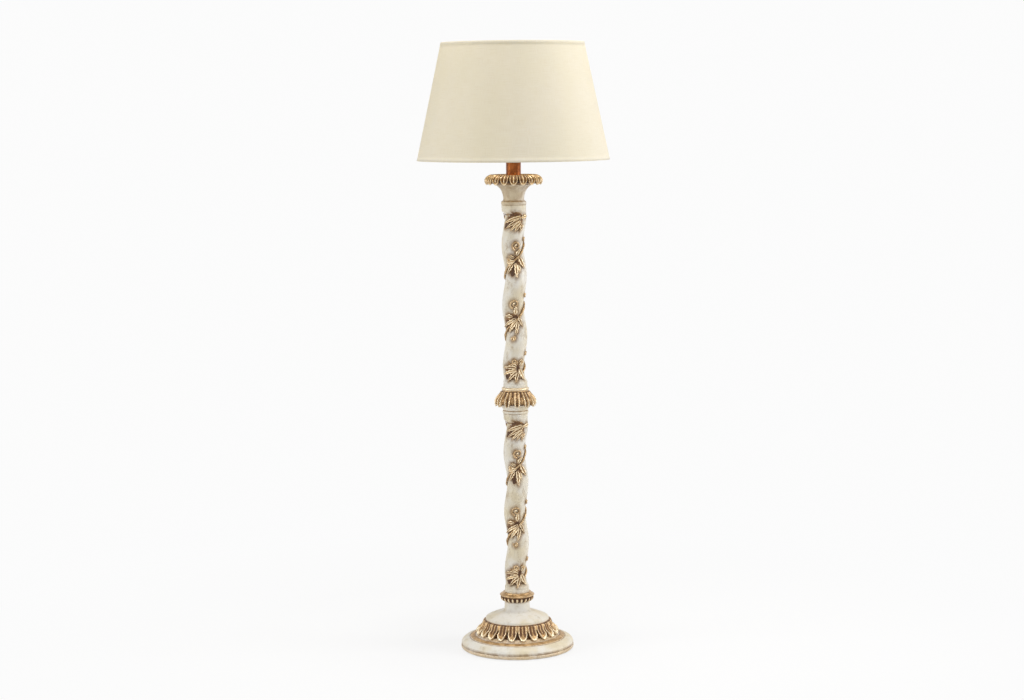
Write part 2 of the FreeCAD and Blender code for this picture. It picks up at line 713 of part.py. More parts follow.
def wire_ring_radius(height):
    return shade_radius(height + WIRE) - SHADE_SKIN - WIRE_GAP


def make_wire_ring(height):
    """A hoop that stiffens the cover from inside."""
    reach = wire_ring_radius(height)
    ring = prism(SHADE_SIDES, reach, height, WIRE)
    ring = ring.cut(prism(SHADE_SIDES, reach - WIRE, height, WIRE))
    return raised(ring, shade_bottom_z())


def make_shade_top_wire():
    return make_wire_ring(SHADE_HEIGHT - HEM - WIRE)


def make_shade_bottom_wire():
    return make_wire_ring(HEM)


def make_shade_fitter():
    """The ring that the lampholder carries, with three arms down to the bottom hoop."""
    fitter = prism(RING_SIDES, FITTER_R, FITTER_Z, FITTER_THICKNESS)
    for i in range(ARM_COUNT):
        fitter = fitter.fuse(make_arm(ARM_FIRST_ANGLE + 360.0 * i / ARM_COUNT))
    bore = prism(RING_SIDES, BARREL_R + TURNING_GAP, FITTER_Z - WIRE, 3 * WIRE)
    return fitter.cut(bore).removeSplitter()


def make_arm(angle):
    """A flat bar from the fitter ring to the inner face of the bottom hoop."""
    hoop_z = shade_bottom_z() + HEM
    start = (SKIRT_FLANGE_R + FITTER_R) / 2
    flat = math.cos(math.pi / SHADE_SIDES)
    reach = (wire_ring_radius(HEM) - WIRE) * flat
    outline = [
        V(start, -ARM_WIDTH / 2, FITTER_Z),
        V(start, -ARM_WIDTH / 2, FITTER_Z + FITTER_THICKNESS),
        V(reach, -ARM_WIDTH / 2, hoop_z + ARM_THICKNESS),
        V(reach, -ARM_WIDTH / 2, hoop_z),
    ]
    arm = flat_face(outline).extrude(V(0, ARM_WIDTH, 0))
    arm.rotate(V(0, 0, 0), V(0, 0, 1), angle)
    return arm


# ------------------------------------------------------------------ the lamp
def make_parts():
    shaft = make_shaft()
    vine = make_vine()
    return {
        "base_felt": make_base_felt(),
        "base_plinth": make_base_plinth(),
        "cord_gland": make_cord_gland(),
        "ballast": make_ballast(),
        "leaf_moulding": make_leaf_moulding(),
        "base_dome": make_base_dome(),
        "neck_collar": make_neck_collar(),
        "lower_shaft": raised(shaft, LOWER_SHAFT_Z),
        "lower_vine": raised(vine, LOWER_SHAFT_Z),
        "knop_cup": make_knop_cup(),
        "knop": make_knop(),
        "upper_shaft": raised(shaft, UPPER_SHAFT_Z),
        "upper_vine": raised(vine, UPPER_SHAFT_Z),
        "capital": make_capital(),
        "drip_pan": make_drip_pan(),
        "candle_tube": make_candle_tube(),
        "tie_rod": make_tie_rod(),
        "rod_nuts": make_rod_nuts(),
        "rod_plates": make_rod_plates(),
        "holder_cap": make_holder_cap(),
        "holder_skirt": make_holder_skirt(),
        "holder_insert": make_holder_insert(),
        "centre_contact": make_centre_contact(),
        "push_bar": make_push_bar(),
        "clamp_ring": make_clamp_ring(),
        "bulb_cap": make_bulb_cap(),
        "bulb_glass": make_bulb_glass(),
        "shade_cover": make_shade_cover(),
        "shade_top_wire": make_shade_top_wire(),
        "shade_bottom_wire": make_shade_bottom_wire(),
        "shade_fitter": make_shade_fitter(),
    }


def main():
    os.makedirs("parts", exist_ok=True)
    for name, shape in make_parts().items():
        shape.exportStep("parts/" + name + ".step")
        print(name, "solids", len(shape.Solids), "volume", round(shape.Volume, 1), "valid", shape.isValid())


main()
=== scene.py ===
import math

import bpy
import numpy as np
from mathutils import Matrix, Vector, kdtree


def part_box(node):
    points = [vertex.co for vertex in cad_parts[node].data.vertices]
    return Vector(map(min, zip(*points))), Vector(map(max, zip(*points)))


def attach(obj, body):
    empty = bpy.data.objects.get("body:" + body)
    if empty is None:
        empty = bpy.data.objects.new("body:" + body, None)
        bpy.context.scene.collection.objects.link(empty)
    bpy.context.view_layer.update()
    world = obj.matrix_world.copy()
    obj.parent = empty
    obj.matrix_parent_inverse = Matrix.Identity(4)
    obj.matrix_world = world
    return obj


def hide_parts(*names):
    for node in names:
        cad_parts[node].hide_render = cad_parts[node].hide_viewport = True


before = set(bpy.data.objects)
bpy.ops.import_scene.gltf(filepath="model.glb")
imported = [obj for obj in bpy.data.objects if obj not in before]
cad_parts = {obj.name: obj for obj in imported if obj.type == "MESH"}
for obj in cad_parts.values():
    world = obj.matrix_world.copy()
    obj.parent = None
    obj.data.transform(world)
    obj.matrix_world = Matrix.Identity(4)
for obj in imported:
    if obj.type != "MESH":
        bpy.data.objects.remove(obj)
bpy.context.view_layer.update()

# The looks of a candlestick floor lamp: turned, carved and gilded wood, a candle tube, a
# lampholder with its bulb, and a fabric shade. Its own lengths and the camera's are in millimetres,
# and a mesh gets metres when it is made; bumps, floor and lights are in metres. Angles are in
# degrees. Heights of a piece are above its node's underside.
MM = 0.001

# ---- camera
FRAME_WIDTH = 1024
FOCAL_PIXELS = 2130.0
SENSOR_WIDTH = 36.0
CAMERA_DISTANCE = 5620.0
CAMERA_HEIGHT = 1451.6
CAMERA_TILT = 6.55          # downwards
CAMERA_ROLL = -0.5          # the lamp's top leans left in the frame
CAMERA_ACROSS = -8.0

# ---- directions and fineness
FRONT = -90.0               # the front, as an angle round +Z
AROUND = 192                # points round a turned form
OUTLINE_STEP = 0.7          # spacing of points along a turned outline
DROOP_REACH = 6.0           # how far from its edge a carved ring's tongues droop

# ---- the shafts' winding form
SHAFT_R = 28.5
SHAFT_OFFSET = 4.5
SHAFT_END_R = 32.4
SHAFT_END_LENGTH = 13.0
SHAFT_BLEND = 13.0
SHAFT_LENGTH = (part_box("upper_shaft")[1].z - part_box("upper_shaft")[0].z) / MM
TWIST_PITCH = SHAFT_LENGTH / 3.0
TWIST_FRONT = 0.7 * SHAFT_LENGTH


# ---- numbers
def srgb(red, green, blue):
    """A colour written as it looks, from 0 to 255, as linear light with alpha."""
    linear = []
    for value in (red, green, blue):
        share = value / 255.0
        linear.append(share / 12.92 if share <= 0.04045 else ((share + 0.055) / 1.055) ** 2.4)
    return (*linear, 1.0)


def rise(value, low, high):
    """0 below low, 1 above high, smooth between them."""
    share = np.clip((value - low) / (high - low), 0.0, 1.0)
    return share * share * (3.0 - 2.0 * share)


def hump(value, middle, width):
    return np.exp(-((value - middle) / width) ** 2)


def underside(node):
    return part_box(node)[0].z / MM


def topside(node):
    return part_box(node)[1].z / MM


# ---- outlines
def smooth_line(corners, step=OUTLINE_STEP):
    """Evenly spaced points on a smooth curve through the corners; a doubled corner stays sharp."""
    corners = np.array(corners, float)
    runs = []
    start = 0
    for i in range(1, len(corners)):
        last = i == len(corners) - 1
        if last or np.allclose(corners[i], corners[i + 1]):
            runs.append(corners[start:i + 1])
            start = i + 1
    points = [runs[0][:1]]
    for run in runs:
        if len(run) > 1:
            points.append(spline_points(run, step)[1:])
    return np.vstack(points)


def spline_points(corners, step):
    """A Catmull-Rom curve by chord length through at least two corners."""
    spans = np.linalg.norm(np.diff(corners, axis=0), axis=1)
    at = np.concatenate([[0.0], np.cumsum(spans)])
    if len(corners) > 2:
        slopes = np.gradient(corners, at, axis=0)
    else:
        slopes = np.repeat(np.diff(corners, axis=0) / spans, 2, axis=0)
    count = max(2, int(round(at[-1] / step)) + 1)
    where = np.linspace(0.0, at[-1], count)
    span = np.clip(np.searchsorted(at, where, side="right") - 1, 0, len(spans) - 1)
    width = spans[span][:, None]
    t = ((where - at[span]) / spans[span])[:, None]
    near, far = corners[span], corners[span + 1]
    start, end = slopes[span] * width, slopes[span + 1] * width
    return (
        (2 * t ** 3 - 3 * t ** 2 + 1) * near + (t ** 3 - 2 * t ** 2 + t) * start
        + (3 * t ** 2 - 2 * t ** 3) * far + (t ** 3 - t ** 2) * end
    )


# ---- meshes
def add_object(name, data):
    new = bpy.data.objects.new(name, data)
    bpy.context.scene.collection.objects.link(new)
    return new


class Shape:
    """Grids of points in millimetres, gathered into one mesh."""

    def __init__(self):
        self.points = []
        self.faces = []
        self.marks = []
        self.count = 0

    def add_grid(self, grid, capped=False, looped=False, mark=0.0):
        """Closed rows of points; the first and last row can be capped, or joined to each other."""
        rows, columns = grid.shape[:2]
        index = self.count + np.arange(rows * columns).reshape(rows, columns)
        index = np.hstack([index, index[:, :1]])
        if looped:
            index = np.vstack([index, index[:1]])
        corners = [index[:-1, :-1], index[:-1, 1:], index[1:, 1:], index[1:, :-1]]
        self.faces += np.stack(corners, axis=-1).reshape(-1, 4).tolist()
        if capped:
            self.faces += [index[0, -2::-1].tolist(), index[-1, :-1].tolist()]
        self.points.append(grid.reshape(-1, 3))
        self.marks.append(np.broadcast_to(np.reshape(mark, -1), rows * columns))
        self.count += rows * columns
        return self

    def place(self, name, node, slot, body="stand", relief=None, material=None):
        """Makes the piece that stands for a node; relief is what mark_relief takes."""
        mesh = bpy.data.meshes.new(name)
        mesh.from_pydata((np.vstack(self.points) * MM).tolist(), [], self.faces)
        mesh.polygons.foreach_set("use_smooth", np.ones(len(mesh.polygons), bool))
        mesh.update()
        store(mesh, "gilt", np.concatenate(self.marks))
        if relief:
            mark_relief(mesh, *relief)
        piece = add_object(name, mesh)
        mesh.materials.append(MATERIALS[material or slot])
        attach(piece, body)
        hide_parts(node)
        return piece


def store(mesh, name, values):
    attribute = mesh.attributes.new(name, "FLOAT", "POINT")
    attribute.data.foreach_set("value", np.asarray(values, np.float32))


def mark_relief(mesh, rounds, depth):
    """Stores how far each point stands out of its surroundings, as a share of a depth."""
    count = len(mesh.vertices)
    place = np.empty(count * 3, np.float32)
    mesh.vertices.foreach_get("co", place)
    place = place.reshape(-1, 3).astype(float)
    normal = np.empty(count * 3, np.float32)
    mesh.vertex_normals.foreach_get("vector", normal)
    ends = np.empty(len(mesh.edges) * 2, np.int32)
    mesh.edges.foreach_get("vertices", ends)
    a, b = ends.reshape(-1, 2).T
    neighbours = np.bincount(a, minlength=count) + np.bincount(b, minlength=count)
    calm = place
    for _ in range(rounds):
        sums = [
            np.bincount(a, calm[b, k], count) + np.bincount(b, calm[a, k], count) for k in range(3)
        ]
        calm = np.stack(sums, axis=1) / neighbours[:, None]
    out = ((place - calm) * normal.reshape(-1, 3)).sum(axis=1) / (depth * MM)
    store(mesh, "relief", np.clip(out, -1.0, 1.0))


def ring_angles(count, first=0.0):
    return np.radians(first + 360.0 * np.arange(count) / count)


def polar_grid(radius, angle, height):
    """Points about Z from arrays of radii, angles in radians and heights."""
    x, y = radius * np.cos(angle), radius * np.sin(angle)
    return np.stack([x, y, height + 0.0 * x], axis=-1)


def turned_grid(outline, foot, around=AROUND):
    """The surface turned about Z from an outline of (radius, height)."""
    return polar_grid(outline[:, 0:1], ring_angles(around), outline[:, 1:2] + foot)


def outline_marks(outline, bands, around=AROUND):
    """Values along an outline, for each ring of points: (value, low, high, inner, outer radius)."""
    mark = np.zeros(len(outline))
    for value, low, high, inner, outer in bands:
        within = (outline[:, 1] >= low) & (outline[:, 1] <= high)
        within &= (outline[:, 0] >= inner) & (outline[:, 0] <= outer)
        mark[within] = value
    return np.repeat(mark, around)


def carved_shape(node, count, first_angle, ground, columns, relief, droop=0.0):
    """A turned ground with the same relief cut into each of its equal tongues.

    relief(across, along, half) gives millimetres out of the ground and a tone for the gilding,
    with its bareness, painted highlights and painted shade, from the distance to the tongue's
    middle line, the distance along the outline and half a tongue's room.
    """
    steps = np.diff(ground, axis=0)
    along = np.concatenate([[0.0], np.cumsum(np.hypot(*steps.T))])[:, None]
    slope = np.gradient(ground, along[:, 0], axis=0)
    out = np.stack([slope[:, 1], -slope[:, 0]], axis=1)
    out /= np.linalg.norm(out, axis=1)[:, None]
    share = np.tile(-1.0 + 2.0 * np.arange(columns) / columns, count)[None, :]
    half = math.pi * ground[:, 0:1] / count
    height, tone = relief(share * half, along, half)
    radius = ground[:, 0:1] + out[:, 0:1] * height
    sag = droop * height * np.exp(-along / DROOP_REACH)
    z = ground[:, 1:2] + out[:, 1:2] * height - sag + underside(node)
    grid = polar_grid(radius, ring_angles(columns * count, first_angle), z)
    return Shape().add_grid(grid, mark=tone + 0.0 * radius)


def beveled(corners, bevel=0.3):
    """A closed outline with its corners cut off, and points beside the cuts that keep it flat."""
    corners = np.array(corners, float)
    points = []
    for i, here in enumerate(corners):
        for other, order in ((corners[i - 1], (2, 1)), (corners[(i + 1) % len(corners)], (1, 2))):
            away = other - here
            length = np.linalg.norm(away)
            points += [here + away / length * times * min(bevel, 0.2 * length) for times in order]
    return np.array(points)


def subdivided(outline, step):
    """A closed outline with no stretch longer than the step."""
    points = []
    for i, here in enumerate(outline):
        there = outline[(i + 1) % len(outline)]
        count = max(1, math.ceil(np.linalg.norm(there - here) / step))
        points += [here + (there - here) * k / count for k in range(count)]
    return np.array(points)


def cut_in(grid, depth_at):
    """Moves a turned grid's points inwards, by depth_at(radius, angle, height)."""
    radius = np.hypot(grid[..., 0], grid[..., 1])
    angle = np.arctan2(grid[..., 1], grid[..., 0])
    grid[..., :2] *= (1.0 - depth_at(radius, angle, grid[..., 2]) / radius)[..., None]
    return grid


def cut_thread(grid, low, high, least_r, pitch, depth):
    """Winds a round thread into a turned grid, between two heights and outside a radius."""
    def depth_at(radius, angle, z):
        wave = 0.5 - 0.5 * np.cos(2 * np.pi * z / pitch - angle)
        share = wave * rise(z, low, low + pitch) * (1.0 - rise(z, high - pitch, high))
        return np.where(radius > least_r, depth * share, 0.0)
    return cut_in(grid, depth_at)


def tube_grid(centre, outwards, radius, around=10):
    """A round bar along a line of points, given a direction beside it at each."""
    forward = np.gradient(centre, axis=0)
    forward /= np.linalg.norm(forward, axis=1)[:, None]
    side = np.cross(forward, outwards)
    side /= np.linalg.norm(side, axis=1)[:, None]
    outwards = np.cross(side, forward)
    turn = -ring_angles(around)
    ring = side[:, None, :] * np.cos(turn)[:, None] + outwards[:, None, :] * np.sin(turn)[:, None]
    return centre[:, None, :] + ring * np.broadcast_to(radius, len(centre))[:, None, None]


def cut_away(piece, corner, size):
    """Cuts a box out of a piece for good; the corner and size are in millimetres."""
    low = Vector(corner) * MM
    high = low + Vector(size) * MM
    corners = [(x, y, z) for x in (low.x, high.x) for y in (low.y, high.y) for z in (low.z, high.z)]
    faces = [(0, 1, 3, 2), (4, 6, 7, 5), (0, 4, 5, 1), (2, 3, 7, 6), (0, 2, 6, 4), (1, 5, 7, 3)]
    mesh = bpy.data.meshes.new("cutter")
    mesh.from_pydata(corners, [], faces)
    cutter = add_object("cutter", mesh)
    modifier = piece.modifiers.new("cut", "BOOLEAN")
    modifier.operation = "DIFFERENCE"
    modifier.solver = "EXACT"
    modifier.object = cutter
    shown = piece.evaluated_get(bpy.context.evaluated_depsgraph_get())
    result = bpy.data.meshes.new_from_object(shown)
    piece.modifiers.clear()
    piece.data = result
    bpy.data.objects.remove(cutter)
    bpy.data.meshes.remove(mesh)


# ---- material building blocks
def new_material(name):
    material = bpy.data.materials.new(name)
    material.use_nodes = True
    return material, material.node_tree


def finished(material, looks):
    """Sets each named input of the material's surface to a value or to a node's output."""
    tree = material.node_tree
    for key, value in looks.items():
        join(tree, tree.nodes["Principled BSDF"].inputs[key], value)
    return material


def join(tree, target, value):
    if isinstance(value, bpy.types.NodeSocket):
        tree.links.new(value, target)
    else:
        target.default_value = value


def add_node(tree, kind, inputs, output=0, **settings):
    node = tree.nodes.new(kind)
    for key, value in settings.items():
        setattr(node, key, value)
    for key, value in inputs.items():
        join(tree, node.inputs[key], value)
    return node.outputs[output]


def math_node(tree, operation, a, b=0.0, clamp=False):
    return add_node(tree, "ShaderNodeMath", {0: a, 1: b}, operation=operation, use_clamp=clamp)


def added(tree, a, b):
    return math_node(tree, "ADD", a, b)


def scaled(tree, a, b):
    return math_node(tree, "MULTIPLY", a, b)


def speckled(tree, fine, size):
    """Fine noise spread about 0."""
    return scaled(tree, math_node(tree, "SUBTRACT", fine, 0.5), size)


def mixed(tree, share, a, b):
    inputs = {0: share, 6: a, 7: b}
    return add_node(tree, "ShaderNodeMix", inputs, output=2, data_type="RGBA", clamp_factor=True)


def ramp(tree, value, low, high, start=0.0, end=1.0):
    inputs = {"Value": value, "From Min": low, "From Max": high, "To Min": start, "To Max": end}
    return add_node(tree, "ShaderNodeMapRange", inputs, interpolation_type="SMOOTHSTEP")


def mapping(tree, vector, scale):
    return add_node(tree, "ShaderNodeMapping", {"Vector": vector, "Scale": scale})


def object_place(tree, scale=(1.0, 1.0, 1.0)):
    return mapping(tree, tree.nodes.new("ShaderNodeTexCoord").outputs["Object"], scale)


def noise(tree, place, scale, detail=4.0, roughness=0.55):
    inputs = {"Vector": place, "Scale": scale, "Detail": detail, "Roughness": roughness}
    return add_node(tree, "ShaderNodeTexNoise", inputs)


def attribute(tree, name):
    return add_node(tree, "ShaderNodeAttribute", {}, output=2, attribute_name=name)


def bump(tree, height, distance, below=None):
    inputs = {"Height": height, "Distance": distance, "Strength": 1.0}
    if below is not None:
        inputs["Normal"] = below
    return add_node(tree, "ShaderNodeBump", inputs)


# ---- materials of the stand
IVORY_LIGHT = srgb(241, 237, 228)
IVORY_WARM = srgb(230, 217, 188)
IVORY_GREY = srgb(212, 201, 174)
PATINA = srgb(152, 116, 72)
# The darkest patina is partly painted shade.
DEEP_PATINA_AND_SHADE = srgb(78, 52, 28)
# The palest gold is a painted highlight, and the darkest bole is painted shade.
GOLD_HIGHLIGHT = srgb(248, 231, 198)
GOLD = srgb(203, 168, 120)
GOLD_DEEP = srgb(158, 122, 76)
BOLE = srgb(116, 78, 44)
SHADED_BOLE = srgb(66, 42, 22)


def gilt_colours(tree, place, relief, tone):
    """Leaf over red-brown ground: a painted highlight on the ridges, the ground showing through in
    the hollows, and painted shade in the deepest.
    """
    patch = noise(tree, place, 70.0, 5.0)
    fine = noise(tree, place, 420.0, 4.0, 0.7)
    leaf = mixed(tree, ramp(tree, patch, 0.35, 0.65), GOLD_DEEP, GOLD)
    carving = added(tree, scaled(tree, relief, 0.5), tone)
    height = added(tree, carving, speckled(tree, fine, 1.3))
    # Painted highlight: the palest gold on the highest ridges.
    leaf = mixed(tree, ramp(tree, height, 0.35, 1.05), leaf, GOLD_HIGHLIGHT)
    # The ground shows through in the hollows, partly as painted shade.
    worn_and_shaded = ramp(tree, height, 0.05, -0.35)
    colour = mixed(tree, worn_and_shaded, leaf, BOLE)
    # Painted shade: the darkest bole in the deepest hollows and on leaf undersides.
    colour = mixed(tree, ramp(tree, height, -0.3, -0.85), colour, SHADED_BOLE)
    return colour, worn_and_shaded, fine


def gold_leaf():
    material, tree = new_material("gold_leaf")
    place = object_place(tree)
    colour, worn_and_shaded, fine = gilt_colours(tree, place, attribute(tree, "relief"), attribute(tree, "gilt"))
    dents = bump(tree, noise(tree, place, 180.0, 5.0), 0.0009)
    return finished(material, {
        "Base Color": colour,
        "Metallic": ramp(tree, worn_and_shaded, 0.0, 1.0, 0.6, 0.05),
        "Roughness": ramp(tree, worn_and_shaded, 0.0, 1.0, 0.34, 0.6),
        "Normal": bump(tree, fine, 0.00025, dents),
    })


def aged_paint(name, grime_level):
    """Ivory paint, brown in the hollows as patina and painted shade, and rubbed in patches.

    Lines are gilded where the mark is 1, and brown where it is -1: patina lines, and painted shade
    under edges and on undersides.
    """
    material, tree = new_material(name)
    place = object_place(tree)
    relief, mark = attribute(tree, "relief"), attribute(tree, "gilt")
    broad = noise(tree, place, 13.0)
    patch = noise(tree, object_place(tree, (1.0, 1.0, 0.45)), 62.0, 6.0, 0.62)
    fine = noise(tree, place, 380.0, 5.0, 0.7)
    colour = mixed(tree, ramp(tree, broad, 0.36, 0.68), IVORY_LIGHT, IVORY_WARM)
    colour = mixed(tree, ramp(tree, patch, 0.46, 0.74, 0.0, 0.5), colour, IVORY_GREY)
    speckle = speckled(tree, fine, 0.9)
    height = added(tree, relief, speckle)
    # Brown beside the vine, and brown along lines marked below 0, some of which are painted shade.
    aged_and_shaded = math_node(tree, "SUBTRACT", attribute(tree, "near_gold"), mark)
    aged_and_shaded = scaled(tree, aged_and_shaded, ramp(tree, patch, 0.36, 0.62, 0.45, 1.2))
    aged_and_shaded = math_node(tree, "MAXIMUM", added(tree, aged_and_shaded, scaled(tree, speckle, 0.6)), 0.0)
    # Brown in the hollows: patina, and painted shade.
    settled_and_shaded = math_node(tree, "ADD", ramp(tree, height, -0.05, -0.6), aged_and_shaded, clamp=True)
    rubbed = ramp(tree, added(tree, patch, speckle), 0.7 - grime_level, 1.0 - grime_level)
    grime_and_shade = math_node(tree, "MAXIMUM", settled_and_shaded, scaled(tree, rubbed, 0.55))
    colour = mixed(tree, scaled(tree, grime_and_shade, 0.85), colour, PATINA)
    # Painted shade: the darkest brown in the deepest hollows.
    colour = mixed(tree, ramp(tree, height, -0.4, -0.95), colour, DEEP_PATINA_AND_SHADE)
    gilt = gilt_colours(tree, place, relief, 0.12)[0]
    gilded = ramp(tree, added(tree, mark, scaled(tree, speckle, 0.9)), 0.3, 0.75)
    cracks = add_node(
        tree, "ShaderNodeTexVoronoi", {"Vector": place, "Scale": 95.0}, feature="DISTANCE_TO_EDGE"
    )
    skin = bump(tree, ramp(tree, cracks, 0.0, 0.035), 0.00012, bump(tree, patch, 0.0004))
    return finished(material, {
        "Base Color": mixed(tree, gilded, colour, gilt),
        "Metallic": scaled(tree, gilded, 0.5),
        "Roughness": ramp(tree, patch, 0.3, 0.75, 0.36, 0.6),
        "Normal": bump(tree, fine, 0.0002, skin),
    })


def streaked_felt():
    material, tree = new_material("felt")
    fibres = noise(tree, object_place(tree, (1.0, 3.0, 1.0)), 900.0, 6.0, 0.7)
    tone = mixed(tree, noise(tree, object_place(tree), 40.0), srgb(62, 74, 58), srgb(84, 96, 76))
    return finished(material, {
        "Base Color": mixed(tree, fibres, tone, srgb(48, 58, 46)),
        "Roughness": 0.95,
        "Sheen Weight": 0.3,
        "Normal": bump(tree, fibres, 0.0006),
    })


def bare_metal(name, light, dark, roughness, metallic=1.0, grain=(1.0, 1.0, 8.0)):
    """Metal with fine drawn grain and patches of tarnish, and black glass where it is marked."""
    material, tree = new_material(name)
    lines = noise(tree, object_place(tree, grain), 260.0, 6.0, 0.65)
    patch = noise(tree, object_place(tree), 55.0, 5.0)
    tone = mixed(tree, ramp(tree, patch, 0.35, 0.68), light, dark)
    colour = mixed(tree, ramp(tree, lines, 0.45, 0.7, 0.0, 0.45), tone, dark)
    mark = attribute(tree, "gilt")
    return finished(material, {
        "Base Color": mixed(tree, mark, colour, srgb(22, 20, 24)),
        "Metallic": ramp(tree, mark, 0.0, 1.0, metallic, 0.0),
        "Roughness": ramp(tree, lines, 0.3, 0.7, roughness - 0.08, roughness + 0.1),
        "Normal": bump(tree, lines, 0.00008),
    })


def moulded_plastic(name, light, dark, roughness):
    material, tree = new_material(name)
    place = object_place(tree)
    grain = noise(tree, place, 1400.0, 3.0)
    return finished(material, {
        "Base Color": mixed(tree, ramp(tree, noise(tree, place, 30.0), 0.35, 0.65), light, dark),
        "Roughness": ramp(tree, grain, 0.3, 0.7, roughness - 0.05, roughness + 0.08),
        "Normal": bump(tree, grain, 0.00005),
    })


def frosted_glass():
    material, tree = new_material("frosted_glass")
    frost = noise(tree, object_place(tree), 500.0)
    return finished(material, {
        "Base Color": mixed(tree, frost, srgb(244, 243, 238), srgb(232, 231, 226)),
        "Roughness": ramp(tree, frost, 0.2, 0.8, 0.32, 0.45),
        "Transmission Weight": 0.25,
        "IOR": 1.45,
        "Normal": bump(tree, frost, 0.00005),
    })


def shade_fabric():
    """Slubbed silk on a stiff lining: crossed threads, uneven ones, and a soft sheen."""
    material, tree = new_material("shade_silk")
    place = tree.nodes.new("ShaderNodeUVMap")
    place.uv_map = "cloth"
    cloth = place.outputs["UV"]
    warp = noise(tree, mapping(tree, cloth, (1800.0, 40.0, 1.0)), 1.0, 2.0)
    weft = noise(tree, mapping(tree, cloth, (26.0, 1500.0, 1.0)), 1.0, 3.0, 0.6)
    threads = added(tree, warp, scaled(tree, weft, 1.3))
    cloud = noise(tree, mapping(tree, cloth, (9.0, 5.0, 1.0)), 1.0)
    tone = mixed(tree, ramp(tree, cloud, 0.3, 0.7), srgb(252, 251, 247), srgb(249, 248, 240))
    shadow = ramp(tree, threads, 1.25, 0.9, 0.0, 0.5)
    lining = mixed(tree, shadow, srgb(247, 232, 166), srgb(236, 216, 140))
    through = add_node(tree, "ShaderNodeBsdfTranslucent", {"Color": lining})
    outside = tree.nodes["Principled BSDF"].outputs[0]
    shown = add_node(tree, "ShaderNodeMixShader", {0: 0.34, 1: outside, 2: through})
    join(tree, tree.nodes["Material Output"].inputs["Surface"], shown)
    return finished(material, {
        "Base Color": mixed(tree, shadow, tone, srgb(238, 234, 220)),
        "Roughness": 0.78,
        "Sheen Weight": 0.2,
        "Specular IOR Level": 0.3,
        "Normal": bump(tree, threads, 0.00018),
    })


# Metals, then plastics, ceramic and enamel: a light and a dark tone and the roughness, and for
# metals how metallic they are and their grain.
METALS = {
    "cast_iron": (srgb(70, 70, 72), srgb(40, 40, 42), 0.6, 0.5, (1.0, 1.0, 1.0)),
    "tube_bronze": (srgb(170, 100, 48), srgb(122, 66, 28), 0.34, 0.75),
    "zinc_steel": (srgb(200, 200, 196), srgb(160, 160, 156), 0.32),
    "contact_brass": (srgb(214, 180, 110), srgb(180, 140, 78), 0.3),
    "bulb_aluminium": (srgb(214, 214, 216), srgb(176, 176, 180), 0.28),
}
PLASTICS = {
    "gland_plastic": (srgb(52, 44, 36), srgb(38, 32, 27), 0.55),
    "holder_plastic": (srgb(236, 226, 202), srgb(226, 214, 188), 0.28),
    "switch_plastic": (srgb(224, 212, 186), srgb(210, 198, 172), 0.5),
    "holder_ceramic": (srgb(240, 238, 232), srgb(226, 223, 214), 0.6),
    "frame_enamel": (srgb(238, 234, 224), srgb(226, 220, 206), 0.35),
}
# The finish of each slot, and the shafts' own paint.
MATERIALS = {
    "gilded_wood": gold_leaf(),
    "ivory_wood": aged_paint("ivory_paint", 0.1),
    "shaft_paint": aged_paint("shaft_paint", 0.2),
    "felt": streaked_felt(),
    "bulb_glass": frosted_glass(),
    "shade_silk": shade_fabric(),
    **{slot: bare_metal(slot, *look) for slot, look in METALS.items()},
    **{slot: moulded_plastic(slot, *look) for slot, look in PLASTICS.items()},
}


# ---- base
PLINTH_OUTLINE = [
    (141, 0), (147.6, 0), (147.6, 0), (149.4, 1.4), (150.9, 4), (151.3, 6.6), (150.6, 8.8),
    (149.2, 9.9), (149.2, 9.9), (148.8, 11), (149.6, 12.2), (149.6, 12.2), (150.4, 14), (149.9, 17),
    (147.6, 21), (143.4, 24.8), (137.4, 28), (131.6, 29.6), (128.9, 29.9), (128.9, 29.9),
    (127.9, 29.5), (126.9, 30.2), (126.2, 31.6), (126.2, 31.6), (124, 32.6), (115.4, 35.4),
    (114.6, 35.2), (114.6, 35.2), (113.6, 34.6), (112.8, 35.4), (112.8, 35.4), (110, 37.2),
    (104, 42), (104, 42), (92, 42),
]
# The brown band on the underside of the plinth's torus, from 12.4 to 16.5, is painted shade.
PLINTH_MARKS = [
    (-0.6, 0, 1.6, 146, 152), (0.6, 1.6, 9.4, 147, 152), (-1, 9.4, 12.4, 147, 150.5),
    (-0.45, 12.4, 16.5, 147, 152), (-1, 29.2, 31, 126.6, 129.2), (1, 31.4, 35.5, 114.9, 126.5),
    (-1, 34.4, 36, 112, 114.9), (0.55, 36, 42, 96, 112.4),
]
DOME_OUTLINE = [
    (86, -0.4), (84.6, 0.3), (84.4, 2.6), (84.2, 4.6), (83.4, 6.3), (81.8, 7.5), (78, 9.2),
    (68, 13.6), (57, 17.8), (48.6, 20.2), (42.6, 21.9), (38.6, 23.9), (35.6, 27), (34.1, 31),
    (33.6, 36), (33.5, 44), (34, 50.5),
]
# The dark band at the dome's lower edge is painted shade under that edge.
DOME_MARKS = [(-1, -1, 0.6, 80, 87), (-0.6, 46.5, 51, 33, 35)]


def make_felt():
    outline = smooth_line([(0.4, 0.0), (140.0, 0.0), (140.0, 0.0), (141.0, 0.8), (140.6, 2.0)], 4.0)
    disc = Shape().add_grid(turned_grid(outline, 0.0, 96), capped=True)
    disc.place("felt_foot", "base_felt", "felt")


def make_painted(node, name, corners, bands, relief, step=OUTLINE_STEP):
    """A painted turning with gilt and brown bands."""
    outline = smooth_line(corners, step)
    turning = Shape()
    turning.add_grid(turned_grid(outline, underside(node)), mark=outline_marks(outline, bands))
    turning.place(name, node, "ivory_wood", relief=relief)


# ---- carved rings
TONGUES = 22
TONGUE_GROUND = [
    (96.5, -0.4), (97.4, 5), (94, 14), (90.6, 23), (88, 30), (86.8, 33.2), (86, 34.6), (84.6, 34.8),
    (83.4, 34.2),
]
TONGUE_TOP = 35.0           # along the ground, where the tongues end under the dome's edge


